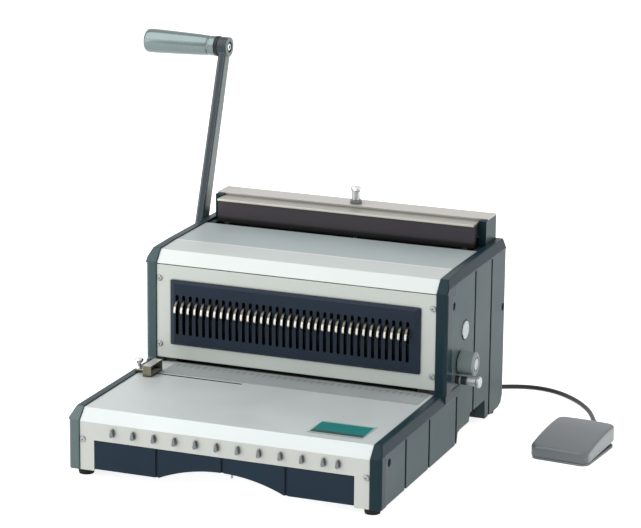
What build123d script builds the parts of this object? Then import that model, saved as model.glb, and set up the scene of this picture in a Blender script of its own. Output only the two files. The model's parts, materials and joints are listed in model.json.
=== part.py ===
from build123d import *
import os
from math import atan2, cos, degrees, hypot, pi, radians, sin, tan

# Desktop wire binding machine: a motor punches a row of holes when the foot pedal is
# pressed, a comb of hooks in the tower's front holds the wire while sheets are hung on
# it, and a hand lever closes the wire under a press bar on the top.
#
# Sizes are millimetres.  While it is built, x runs to the operator's right from midway
# between the side covers, y runs back from the base's front face and z runs up from the
# table.  At the end everything moves so that the origin is the bottom centre of the box
# round the machine and its pedal, without the pedal's cord.

# ---------------------------------------------------------------- driving dimensions
PITCH = 25.4 / 3                # 3:1 wire: three loops to the inch
SLOTS = 35                      # slots in the comb plate, and punches
SLOT_MID_X = -2.0               # middle of the row of slots

END_MARGIN = 30.57              # from the row's end slots to the ends of the sheets, on average
SHEET_HALF = PITCH * (SLOTS - 1) / 2 + END_MARGIN  # half the width of the sheet-metal fronts
SHEET = 1.5                     # sheet thickness
COVER_DEPTH = 13.5              # side cover, outside the sheets
PLATE = 8.0                     # steel side plates, inside the sheets' ends
FOOT_H = 8.0                    # rubber feet, so the covers start at this height
REAR_Y = 421.0                  # back face of the machine

DECK_Z = 78.0                   # top of the paper deck
BEVEL_Y = 12.8                  # bevel between the base's front and the deck
BEVEL_Z = 13.0
TOWER_Y = 209.0                 # front face of the tower
THROAT = 5.5                    # height of the gap that the sheets slide into
SEAM_Z = 197.2                  # top of the tower's front plate
TOP_Z = 213.5                   # flat top of the tower
NOSE_Y = 12.5                   # bevel of the top cover's front lip
NOSE_DROP = 1.5                 # slope from the crease down to the nose
CREASE_Y = TOWER_Y + 55.5
COVER_END_Y = REAR_Y - 67.0     # rear edge of the top cover
FLANGE = 12.0                   # turned-down rear edge of the top cover
RIM = 1.0                       # side covers stand this much proud of the sheets
RUN = 0.05                      # radial clearance of a running fit
GAP = 0.3                       # clearance between pieces that only pass each other

# Side covers
BAND_FRONT = 16.0               # navy band along a front edge
BAND_TOP = 12.0                 # navy band along a top edge
BAND_CHAMFER = 4.5              # how far the band's chamfer cuts in from outside
BASE_BAND_END = 265.0           # the base's top band runs back past the tower's front
TOWER_BAND = 19.0
GUSSET_Y = 13.0                 # block where the tower's front and top bands meet
GUSSET_Z = 15.0
PANEL_RECESS = 0.8              # grey panels lie this much below the bands
PANEL_WALL = 9.0
GROOVE = 5.0                    # width of the grooves down the panels
GROOVE_DEPTH = 3.0
GROOVES_BASE = (79.0, 156.5, 250.0)
GROOVES_TOWER = (REAR_Y - 111.0, REAR_Y - 51.0)
HAND_Y0 = REAR_Y - 121.0        # carrying notch in the bottom edge
HAND_Y1 = HAND_Y0 + 56.0
STEP_Y = HAND_Y0 - 45.0         # the panel's bottom edge steps up behind this
STEP_Z = 22.0
HAND_Z = 32.0
HOLE_R = 5.0                    # access holes for the side screws
SIDE_SCREWS = ((26.0, 55.7), (233.7, 178.5), (REAR_Y - 6.0, 131.6))

# Comb plate and hooks
COMB_HALF = PITCH * (SLOTS - 1) / 2 + 12.07
COMB_Z0 = 101.0
COMB_Z1 = 179.5
COMB_T = 4.7
COMB_EDGE = 1.7                 # thickness left at the outer edge of the bevels
COMB_BEVEL_X = 5.5              # width of the bevels along the ends
COMB_BEVEL_Z = 3.0              # and along the top and bottom
COMB_CORNER = 3.0
SLOT_Z0 = 114.2
SLOT_Z1 = 162.9
SLOT_W = 4.0
HOOK_T = 2.5                    # hooks are stamped from 2.5 mm steel
HOOK_TIP_Z = 142.5
HOOK_TOP_Z = 156.5
HOOK_REACH = 13.0               # hook's front, in front of the tower plate
HOOK_R0 = 9.3                   # inner and outer radius of the hook's bend
HOOK_R1 = 12.5
HOOK_TRAVEL = 30.0
HOOK_BAR = 5.0
HOOK_BAR_H = 12.0
ROD_R = 3.0
ROD_X = SHEET_HALF - 26.5

# Drawer for the waste
DRAWER_HALF = SHEET_HALF - 18.0  # opening in the base's front
DRAWER_Z1 = 44.2
DRAWER_Z0 = 10.3
DRAWER_FACE = 3.0
DRAWER_GROOVES = (-79.3, 0.0, 76.5)
ARCH_X = -1.5                   # finger arch in the drawer's front
ARCH_HALF = 75.5
ARCH_RISE = 16.0
TRAY_END_Y = REAR_Y - 133.0
TRAY_HALF = DRAWER_HALF - 9.5
TRAY_T = 1.2
DRAWER_TRAVEL = 220.0

# Pegs across the base's front, three wire loops apart
PEG_FIRST_X = -133.25
PEG_STEPS = tuple(3 * k for k in range(11)) + (32,)
PEG_Z = 55.2
PEG_R = 2.1
PEG_LENGTH = 9.0
PEG_OUT = 5.0

# Punch
PUNCH_Y = 236.0                 # row of holes behind the throat
PUNCH_SIDE = 4.0                # square holes
PUNCH_STROKE = 8.0
DIE_HALF = SHEET_HALF - 22.5
DIE_Y0 = 214.0
DIE_Y1 = 256.0
DIE_H = 18.0
GUIDE_H = 11.5
RAM_Y0 = 229.0
RAM_Y1 = 288.5
RAM_H = 18.0
CAM_Y = 275.0                   # eccentric shaft, its end shows in the right cover
CAM_Z = 140.0
CAM_SHAFT_R = 8.0
CAM_R = 14.0
CAM_GAP = 0.9                   # the eccentric's throw isn't linear, so it needs this
CAM_W = 20.0
CAM_X = SHEET_HALF - 74.5
GEAR_MODULE = 2.0
GEAR_TEETH = 48
PINION_TEETH = 16
GEAR_W = 8.0
MOTOR_R = 32.0

# Knobs on the right side
DIAL_Y = 259.0                  # big dial: lifts and lowers the hooks
DIAL_Z = 105.0
DIAL_R = 14.0
DIAL_L = 19.0
DIAL_SHAFT_R = 4.0
DIAL_INLAY_R = 7.5              # ring turned into the dial's end
DIAL_GROOVE = 0.9
RACK_MODULE = 1.5
RACK_TEETH = 28
RACK_X0 = DIE_HALF + 0.5
RACK_W = 5.5
STOP_Y = 243.0                  # small knob: sets the depth of the holes
STOP_Z = 89.0
STOP_SHAFT_R = 4.75
STOP_THROW = 2.0
STOP_PIN_R = 2.0
STOP_KNOB_R = 6.6
STOP_KNOB_L = 16.0
STOP_NECK = 14.0                # shaft that shows between the cover and the small knob

# Wire closer
PIVOT_Y = REAR_Y - 48.0         # cross shaft that the lever turns
PIVOT_Z = 170.0
PIVOT_R = 7.0
LEVER_LEAN = 19.1               # the lever leans back by this at rest, degrees
LEVER_SWING = 75.0
LEVER_L = 255.5                 # pivot to grip
LEVER_T = 11.0
LEVER_W0 = 21.0
LEVER_W1 = 15.0
HUB_R = 18.0
EYE_R = 12.0
GRIP_L = 94.5
GRIP_R0 = 12.4
GRIP_R1 = 14.9
CRANK_R = 18.0
CRANK_T = 8.0
CRANK_X = SHEET_HALF - 34.5
CRANK_PIN_R = 4.0
CRANK_GAP = 0.6                 # the crank pin's path isn't linear, so its slot is wide
PRESS_Y0 = PIVOT_Y - 5.0
PRESS_T = 8.0
PRESS_Z0 = 212.0
PRESS_H = 27.0
STRIP_Y0 = PRESS_Y0 - 3.0
STRIP_T = 2.5
CAP_X = 9.5                     # end caps, across
CAP_Y0 = REAR_Y - 38.0
COVER_Y0 = CAP_Y0 + 6.5         # front edge of the closer's cover, between the end caps
COVER_LIP = 5.0
CLOSER_TOP_Z = 244.5
LEG_T = 6.0
LEG_X = CRANK_X + CRANK_T + 2.0
ANVIL_Z = 188.0
ANVIL_HALF = CRANK_X - 2.0
BEAM_Y0 = REAR_Y - 25.0
BEAM_Z1 = ANVIL_Z - 12.0
DIAL_TOP_X = 2.0                # knob on the closer's top: wire size stop
DIAL_TOP_Y = REAR_Y - 19.0
SPINDLE_R = 3.0
STOP_LIFT = 6.0

# Edge guide and scale on the deck
SCALE_T = 0.5
SCALE_X0 = -150.0
NAME_PLATE = (90.0, 156.0, 27.0, 70.0)
GUIDE_X0 = -SHEET_HALF + 11.5
GUIDE_X1 = GUIDE_X0 + 10.5
GUIDE_Y0 = 144.0
GUIDE_Y1 = 176.0
GUIDE_H_BLOCK = 13.0
GUIDE_SLOT_Y = 161.0
GUIDE_SLOT_W = 3.6
GUIDE_SLOT_X1 = -45.0
GUIDE_KNOB_X = -SHEET_HALF - 0.9
GUIDE_ARM_Z = 1.4
GUIDE_TRAVEL = 95.0

# Foot pedal
PEDAL_X = 313.5
PEDAL_Y = 301.0
PEDAL_YAW = -5.0
PEDAL_W = 72.0
PEDAL_D = 92.0
PEDAL_FRONT_Z = 16.5
PEDAL_REAR_Z = 27.0
PEDAL_CROWN = 3.0               # the treadle's top bulges by this in the middle
PEDAL_SKIRT_RISE = 5.0          # the skirt's edge rises from the front to the rear
PEDAL_CORNER = 10.0
PEDAL_WALL = 2.2
PEDAL_GAP = 0.8
SOLE_T = 2.5
PEDAL_PIN_V = -PEDAL_D / 2 + 12  # hinge pin, from the pedal's middle
PEDAL_PIN_Z = SOLE_T + 5.0
PEDAL_PIN_R = 1.5
PEDAL_EXIT_Z = SOLE_T + 5.5     # cord's height where it leaves the pedal
PEDAL_DROP = 2.5                # how far the treadle turns, degrees

# Pedal cord
CORD_R = 2.75
GLAND_R = CORD_R + 1.9
CORD_LENGTH = 1500.0
COIL_R = 33.0                   # radius at the middle of the turns
COIL_X = -30.0
COIL_Y = REAR_Y + 53.0
SOCKET_X = 50.0
SOCKET_Z = 32.0

# Control board and transformer, on the floor of the tower
BOARD_X0 = 20.0
BOARD_BEHIND = 116.0            # board's front edge, from the rear face
BOARD_W = 120.0
BOARD_D = 80.0
BOARD_T = 1.6
BOARD_LIFT = 10.0
BOARD_PARTS = ((12, 40, 22, 14, 12), (40, 55, 12, 12, 22), (60, 55, 12, 12, 22), (90, 45, 20, 16, 15),
               (98, 13, 8, 20, 20))
CORE = (58.0, 30.0, 38.4)       # transformer's iron, across, back and up
GEARBOX_W = 42.0
GEARBOX_H = 54.0
MOTOR_L = 108.0

# ---------------------------------------------------------------- worked-out places
OUT_X = SHEET_HALF + COVER_DEPTH
IN_X = SHEET_HALF - PLATE
FIRST_SLOT_X = SLOT_MID_X - PITCH * (SLOTS - 1) / 2
SLOT_XS = [FIRST_SLOT_X + PITCH * k for k in range(SLOTS)]
THROAT_Z = DECK_Z + THROAT
GUIDE_TOP_Z = THROAT_Z + GUIDE_H
DIE_BOTTOM_Z = DECK_Z - DIE_H
RAM_TOP_Z = CAM_Z + PUNCH_STROKE / 2 - CAM_R - CAM_GAP
RAM_Z0 = RAM_TOP_Z - RAM_H
HOOK_Y0 = TOWER_Y + SHEET + 1.5
HOOK_Z0 = HOOK_TOP_Z - 6.0
HOOK_ROD_Y = HOOK_Y0 + HOOK_BAR + ROD_R + 1.2
POST_X = CAM_X + 28.0
POST_R = 5.0
SPRING_R = 7.0
SPRING_WIRE = 0.7
POST_Y = PUNCH_Y + PUNCH_SIDE / 2 + SPRING_R + SPRING_WIRE + 0.6
UPPER_BEAM_Z = SEAM_Z - 11.0
ARCH_TOP_Z = DRAWER_Z0 + ARCH_RISE
TRAY_Z0 = ARCH_TOP_Z + 1.5
RUNNER_Z = TRAY_Z0 + 8.5
PRESS_TRAVEL = 2 * CRANK_R * sin(radians(LEVER_SWING / 2))
CRANK_PIN_Y = PIVOT_Y - CRANK_R * cos(radians(LEVER_SWING / 2))
CRANK_PIN_Z = PIVOT_Z + CRANK_R * sin(radians(LEVER_SWING / 2))
GRIP_Y = PIVOT_Y + LEVER_L * sin(radians(LEVER_LEAN))
GRIP_Z = PIVOT_Z + LEVER_L * cos(radians(LEVER_LEAN))
LEVER_X0 = -OUT_X - 1.0 - LEVER_T
LEVER_X1 = -OUT_X - 1.0
GEAR_X0 = -IN_X + 1.0
GEAR_SPAN = GEAR_MODULE * (GEAR_TEETH + PINION_TEETH) / 2
PINION_Y = CAM_Y + GEAR_SPAN * cos(radians(45))
PINION_Z = CAM_Z - GEAR_SPAN * sin(radians(45))
MOTOR_X0 = GEAR_X0 + GEAR_W + 2.5
MOTOR_Y = RAM_Y1 + 3 + MOTOR_R
MOTOR_Z = PINION_Z - 4
RACK_R = RACK_MODULE * RACK_TEETH / 2
RACK_PITCH_Y = DIAL_Y - RACK_R

parts = {}


def keep(name, *solids):
    """Store one node: a single solid, or a group of separate solids."""
    flat = []
    for item in solids:
        flat.extend(item.solids())
    parts[name] = flat[0] if len(flat) == 1 else Compound(children=flat)


def box(x0, x1, y0, y1, z0, z1):
    return Pos((x0 + x1) / 2, (y0 + y1) / 2, (z0 + z1) / 2) * Box(x1 - x0, y1 - y0, z1 - z0)


def rod_x(x0, x1, y, z, r):
    return Pos((x0 + x1) / 2, y, z) * Rot(0, 90, 0) * Cylinder(r, x1 - x0)


def rod_y(y0, y1, x, z, r):
    return Pos(x, (y0 + y1) / 2, z) * Rot(90, 0, 0) * Cylinder(r, y1 - y0)


def rod_z(z0, z1, x, y, r):
    return Pos(x, y, (z0 + z1) / 2) * Cylinder(r, z1 - z0)


def prism_x(points, x0, x1):
    """A (y, z) outline drawn out along x."""
    face = Plane.YZ * make_face(Polyline(*points, close=True))
    return Pos(x0, 0, 0) * extrude(face, amount=x1 - x0)


def slab(points, z0, z1):
    """An (x, y) outline drawn up in z."""
    face = make_face(Polyline(*points, close=True))
    return Pos(0, 0, z0) * extrude(face, amount=z1 - z0)


def offset_line(points, t):
    """The open (y, z) line moved sideways by t, to the right of its direction."""
    moved = []
    for (a, b) in zip(points, points[1:]):
        length = hypot(b[0] - a[0], b[1] - a[1])
        n = ((b[1] - a[1]) / length * t, -(b[0] - a[0]) / length * t)
        moved.append(((a[0] + n[0], a[1] + n[1]), (b[0] + n[0], b[1] + n[1])))
    out = [moved[0][0]]
    for (p, q), (r, s) in zip(moved, moved[1:]):
        d1 = (q[0] - p[0], q[1] - p[1])
        d2 = (s[0] - r[0], s[1] - r[1])
        cross = d1[0] * d2[1] - d1[1] * d2[0]
        k = ((r[0] - p[0]) * d2[1] - (r[1] - p[1]) * d2[0]) / cross
        out.append((p[0] + k * d1[0], p[1] + k * d1[1]))
    out.append(moved[-1][1])
    return out


def folded(points, t, x0, x1):
    """A folded sheet: the outer (y, z) line given a thickness, drawn out along x."""
    return prism_x(points + offset_line(points, t)[::-1], x0, x1)


def both(shape):
    """The shape and its mirror image on the machine's other side."""
    return [shape, mirror(shape, about=Plane.YZ)]


def stadium_y(x, z0, z1, w, y0, y1):
    """An upright slot cutter with round ends, through a front sheet."""
    r = w / 2
    return box(x - r, x + r, y0, y1, z0 + r, z1 - r) + rod_y(y0, y1, x, z0 + r, r) \
        + rod_y(y0, y1, x, z1 - r, r)


def gear_x(teeth, module, x0, x1, bore, phase):
    """Spur gear about the x axis; the flanks are straight and leave some backlash."""
    pitch_r = module * teeth / 2
    step = 2 * pi / teeth
    points = []
    for k in range(teeth):
        mid = phase + k * step
        for r, half in ((pitch_r - 1.2 * module, 0.30), (pitch_r + 0.8 * module, 0.13)):
            points.append((r, mid - half * step))
        for r, half in ((pitch_r + 0.8 * module, 0.13), (pitch_r - 1.2 * module, 0.30)):
            points.append((r, mid + half * step))
    outline = [(r * cos(a), r * sin(a)) for r, a in points]
    return prism_x(outline, x0, x1) - rod_x(x0 - 1, x1 + 1, 0, 0, bore)


# ---------------------------------------------------------------- sheet outlines
FRONT_LINE = [(0, FOOT_H), (0, DECK_Z - BEVEL_Z), (BEVEL_Y, DECK_Z), (DIE_Y0 - GAP, DECK_Z)]
TOP_LINE = [(TOWER_Y, SEAM_Z + 0.6), (TOWER_Y + NOSE_Y, TOP_Z - NOSE_DROP), (CREASE_Y, TOP_Z),
            (COVER_END_Y, TOP_Z), (COVER_END_Y, TOP_Z - FLANGE)]
FRONT_INNER = offset_line(FRONT_LINE, SHEET)
TOP_INNER = offset_line(TOP_LINE, SHEET)


def side_plates():
    """Thick steel plates that carry everything; the sheets screw into their edges."""
    outline = FRONT_INNER + [(DIE_Y0 - GAP, DECK_Z), (TOWER_Y + SHEET, DECK_Z), (TOWER_Y + SHEET, SEAM_Z)]
    outline += [TOP_INNER[1], TOP_INNER[2]]
    outline += [(REAR_Y - SHEET, TOP_Z - SHEET), (REAR_Y - SHEET, FOOT_H + 12), (REAR_Y - 16, FOOT_H)]
    outline += [(HAND_Y1, FOOT_H), (HAND_Y1, HAND_Z), (HAND_Y0, HAND_Z), (HAND_Y0, FOOT_H)]
    right = prism_x(outline, IN_X, SHEET_HALF)
    bores = [(CAM_Y, CAM_Z, CAM_SHAFT_R + 3), (PIVOT_Y, PIVOT_Z, PIVOT_R + 3)]
    for y, z, r in bores:
        right -= rod_x(IN_X - 1, SHEET_HALF + 1, y, z, r)
    left = mirror(right, about=Plane.YZ)
    for y, z, r in ((DIAL_Y, DIAL_Z, DIAL_SHAFT_R), (STOP_Y, STOP_Z, STOP_SHAFT_R)):
        right -= rod_x(IN_X - 1, SHEET_HALF + 1, y, z, r + RUN)
    rail = box(TRAY_HALF + 3, IN_X, SHEET + 3, TRAY_END_Y, RUNNER_Z - 2, RUNNER_Z)
    right += rail
    left += mirror(rail, about=Plane.YZ)
    keep("side_plates", right, left)


def side_outline():
    """Outer (y, z) outline of a side cover, without its bottom edge's steps."""
    front = offset_line(FRONT_LINE, -RIM)
    top = offset_line(TOP_LINE[:4], -RIM)
    rise = TOWER_Y - RIM
    return [(-RIM, FOOT_H), front[1], front[2], (rise, DECK_Z + RIM), (rise, top[0][1]),
            top[1], top[2], (REAR_Y, TOP_Z + RIM), (REAR_Y, FOOT_H)]


def side_covers():
    """Navy bands along the front and top edges, and the grooved grey panels they hold."""
    deck_top = DECK_Z + RIM
    band_base_z = deck_top - BAND_TOP
    band_top_z = TOP_Z + RIM - BAND_TOP
    tower_band_y = TOWER_Y + TOWER_BAND
    gusset = [(tower_band_y, band_top_z), (tower_band_y + GUSSET_Y, band_top_z),
              (tower_band_y + GUSSET_Y, band_top_z - GUSSET_Z + 5),
              (tower_band_y + GUSSET_Y - 5, band_top_z - GUSSET_Z),
              (tower_band_y, band_top_z - GUSSET_Z)]
    hole = [(BAND_FRONT, FOOT_H - 1), (BAND_FRONT, band_base_z), (BASE_BAND_END, band_base_z),
            (BASE_BAND_END, deck_top), (tower_band_y, deck_top), (tower_band_y, band_top_z - GUSSET_Z)]
    hole += gusset[::-1][1:4] + [(REAR_Y + 1, band_top_z), (REAR_Y + 1, FOOT_H - 1)]
    bands = prism_x(side_outline(), SHEET_HALF, OUT_X) - prism_x(hole, SHEET_HALF - 1, OUT_X + 1)
    # the chamfer along the tops and the smaller one down the fronts
    c = BAND_CHAMFER
    for z, y0, y1 in ((deck_top, -5, TOWER_Y - RIM), (TOP_Z + RIM, TOWER_Y - 5, REAR_Y + 1)):
        wedge = Plane.XZ * make_face(Polyline(
            (OUT_X - c, z), (OUT_X + 1, z + 3), (OUT_X + 1, z - BAND_TOP + 1), (OUT_X, z - BAND_TOP + 1),
            close=True))
        bands -= Pos(0, y0, 0) * extrude(wedge, amount=-(y1 - y0))
    for y, z0, z1 in ((-RIM, FOOT_H, deck_top - BEVEL_Z), (TOWER_Y - RIM, deck_top, SEAM_Z)):
        bands -= slab([(OUT_X - 3, y), (OUT_X + 1, y - 1), (OUT_X + 1, y + 3), (OUT_X, y + 3)], z0 - 1, z1)
    panel_in = OUT_X - PANEL_RECESS - PANEL_WALL
    panel_outline = [(BAND_FRONT + 0.2, FOOT_H), (STEP_Y - 2, FOOT_H), (STEP_Y + 2, STEP_Z),
                     (HAND_Y0 - 4, STEP_Z), (HAND_Y0, HAND_Z), (HAND_Y1 - 2, HAND_Z),
                     (HAND_Y1, FOOT_H), (REAR_Y - 16, FOOT_H), (REAR_Y - 5, FOOT_H + 3),
                     (REAR_Y, FOOT_H + 12),
                     (REAR_Y, band_top_z - 0.2), (tower_band_y + GUSSET_Y + 0.2, band_top_z - 0.2),
                     (tower_band_y + GUSSET_Y + 0.2, band_top_z - GUSSET_Z + 4.9),
                     (tower_band_y + GUSSET_Y - 4.9, band_top_z - GUSSET_Z - 0.2),
                     (tower_band_y + 0.2, band_top_z - GUSSET_Z - 0.2),
                     (tower_band_y + 0.2, deck_top + 0.2), (BASE_BAND_END + 0.2, deck_top + 0.2),
                     (BASE_BAND_END + 0.2, band_base_z - 0.2), (BAND_FRONT + 0.2, band_base_z - 0.2)]
    panel = prism_x(panel_outline, SHEET_HALF, OUT_X - PANEL_RECESS)
    # hollow behind, with ribs that stand on the steel plate
    pockets = ((BAND_FRONT + 14, STEP_Y - 8, FOOT_H + 4, band_base_z - 5),
               (HAND_Y0 - 50, HAND_Y0 - 12, deck_top + 50, band_top_z - 20),
               (PIVOT_Y - 60, PIVOT_Y - 16, HAND_Z + 12, band_top_z - 8),
               (PIVOT_Y + 16, REAR_Y - 12, STEP_Z, SIDE_SCREWS[2][1] - 12))
    for y0, y1, z0, z1 in pockets:
        panel -= box(SHEET_HALF - 1, panel_in, y0, y1, z0, z1)
    face = OUT_X - PANEL_RECESS
    for y in GROOVES_BASE:
        panel -= box(face - GROOVE_DEPTH, face + 1, y - GROOVE / 2, y + GROOVE / 2,
                     FOOT_H - 1, band_base_z + 1)
    for y in GROOVES_TOWER:
        panel -= box(face - GROOVE_DEPTH, face + 1, y - GROOVE / 2, y + GROOVE / 2,
                     FOOT_H - 1, band_top_z + 1)
    for y, z in SIDE_SCREWS:
        panel -= rod_x(SHEET_HALF - 1, OUT_X + 1, y, z, HOLE_R)
    left_panel = mirror(panel, about=Plane.YZ)
    panel -= rod_x(SHEET_HALF - 1, OUT_X + 1, CAM_Y, CAM_Z, CAM_SHAFT_R + 4)
    panel -= rod_x(SHEET_HALF - 1, OUT_X + 1, DIAL_Y, DIAL_Z, DIAL_SHAFT_R + GAP)
    panel -= rod_x(SHEET_HALF - 1, OUT_X + 1, STOP_Y, STOP_Z, STOP_SHAFT_R + GAP)
    left_panel -= rod_x(-OUT_X - 1, -SHEET_HALF + 1, PIVOT_Y, PIVOT_Z, PIVOT_R + 1)
    keep("side_bands", *both(bands))
    keep("side_panels", panel, left_panel)


def cover_screws():
    """Screws of the side covers in their access holes, and of the front sheets."""
    screws = []
    for y, z in SIDE_SCREWS:
        screw = rod_x(SHEET_HALF, SHEET_HALF + 3, y, z, HOLE_R - 0.5)
        screw -= box(SHEET_HALF + 1.6, SHEET_HALF + 4, y - 0.5, y + 0.5, z - 2.6, z + 2.6)
        screw -= box(SHEET_HALF + 1.6, SHEET_HALF + 4, y - 2.6, y + 2.6, z - 0.5, z + 0.5)
        screws += both(screw)
    screws += [screw_y(*place) for place in FRONT_SCREWS]
    keep("cover_screws", *screws)


def screw_y(x, y, z):
    """Pan-head cross-recess screw in a front sheet, its head at the front."""
    head = rod_y(y - 1.8, y, x, z, 3.2)
    head = chamfer(head.edges().filter_by(GeomType.CIRCLE).group_by(Axis.Y)[0], 0.8)
    head -= box(x - 2, x + 2, y - 2.5, y - 0.8, z - 0.45, z + 0.45)
    head -= box(x - 0.45, x + 0.45, y - 2.5, y - 0.8, z - 2, z + 2)
    return head + rod_y(y, y + SHEET, x, z, 1.5)


SCREW_X = SHEET_HALF - 4.0
FRONT_SCREWS = [(x, 0.0, 44.0) for x in (-SCREW_X, SCREW_X)] + \
               [(x, TOWER_Y, z) for x in (-SCREW_X, SCREW_X) for z in (99.5, 180.0)]


def front_sheets():
    """The base's front and deck in one folded sheet, and the tower's front plate."""
    deck = folded(FRONT_LINE, SHEET, -SHEET_HALF, SHEET_HALF)
    deck -= box(-DRAWER_HALF, DRAWER_HALF, -1, SHEET + 1, 0, DRAWER_Z1)
    r = GUIDE_SLOT_W / 2
    deck -= box(GUIDE_X0, GUIDE_SLOT_X1, GUIDE_SLOT_Y - r, GUIDE_SLOT_Y + r, DECK_Z - 3, DECK_Z + 1)
    for step in PEG_STEPS:
        deck -= rod_y(-1, SHEET + 1, PEG_FIRST_X + PITCH * step, PEG_Z, 1.5)
    front = box(-SHEET_HALF, SHEET_HALF, TOWER_Y, TOWER_Y + SHEET, THROAT_Z, SEAM_Z - 0.5)
    margin = 6.0
    front -= box(SLOT_XS[0] - margin, SLOT_XS[-1] + margin, TOWER_Y - 1, TOWER_Y + SHEET + 1,
                 SLOT_Z0 - margin, SLOT_Z1 + margin)
    for x, y, z in FRONT_SCREWS:
        cut = rod_y(y - 1, y + SHEET + 1, x, z, 1.6)
        deck -= cut
        front -= cut
    keep("front_deck", deck)
    keep("tower_front_plate", front)
    cover = folded(TOP_LINE, SHEET, -SHEET_HALF, SHEET_HALF)
    for s in (-1, 1):
        x = s * (SHEET_HALF + IN_X) / 2
        half = PLATE / 2 + 1
        cover -= box(x - half, x + half, COVER_END_Y - SHEET - 1, COVER_END_Y + 1,
                     TOP_Z - FLANGE - 1, TOP_Z - SHEET)
    keep("tower_top_cover", cover)
    scale = box(SCALE_X0, SHEET_HALF - 6, GUIDE_SLOT_Y + 6, TOWER_Y - 4, DECK_Z, DECK_Z + SCALE_T)
    keep("scale_plate", scale)
    x0, x1, y0, y1 = NAME_PLATE
    keep("name_plate", slab([(x0, y0), (x1 - 1.5, y0), (x1, y1), (x0 + 2, y1)], DECK_Z, DECK_Z + SCALE_T))


def wire_pegs():
    """Small teardrop pegs that a wire hangs on at the front."""
    pegs = []
    for step in PEG_STEPS:
        x = PEG_FIRST_X + PITCH * step
        head = rod_y(-PEG_OUT, 0, x, PEG_Z - 2, PEG_R)
        taper = Plane.XZ * make_face(Polyline((x - PEG_R, PEG_Z - 2), (x + PEG_R, PEG_Z - 2),
                                              (x + 0.8, PEG_Z + PEG_LENGTH - 4.2),
                                              (x - 0.8, PEG_Z + PEG_LENGTH - 4.2), close=True))
        pegs.append(head + extrude(taper, amount=PEG_OUT) + rod_y(0, SHEET + 1.5, x, PEG_Z, 1.45))
    keep("wire_pegs", *pegs)


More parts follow.
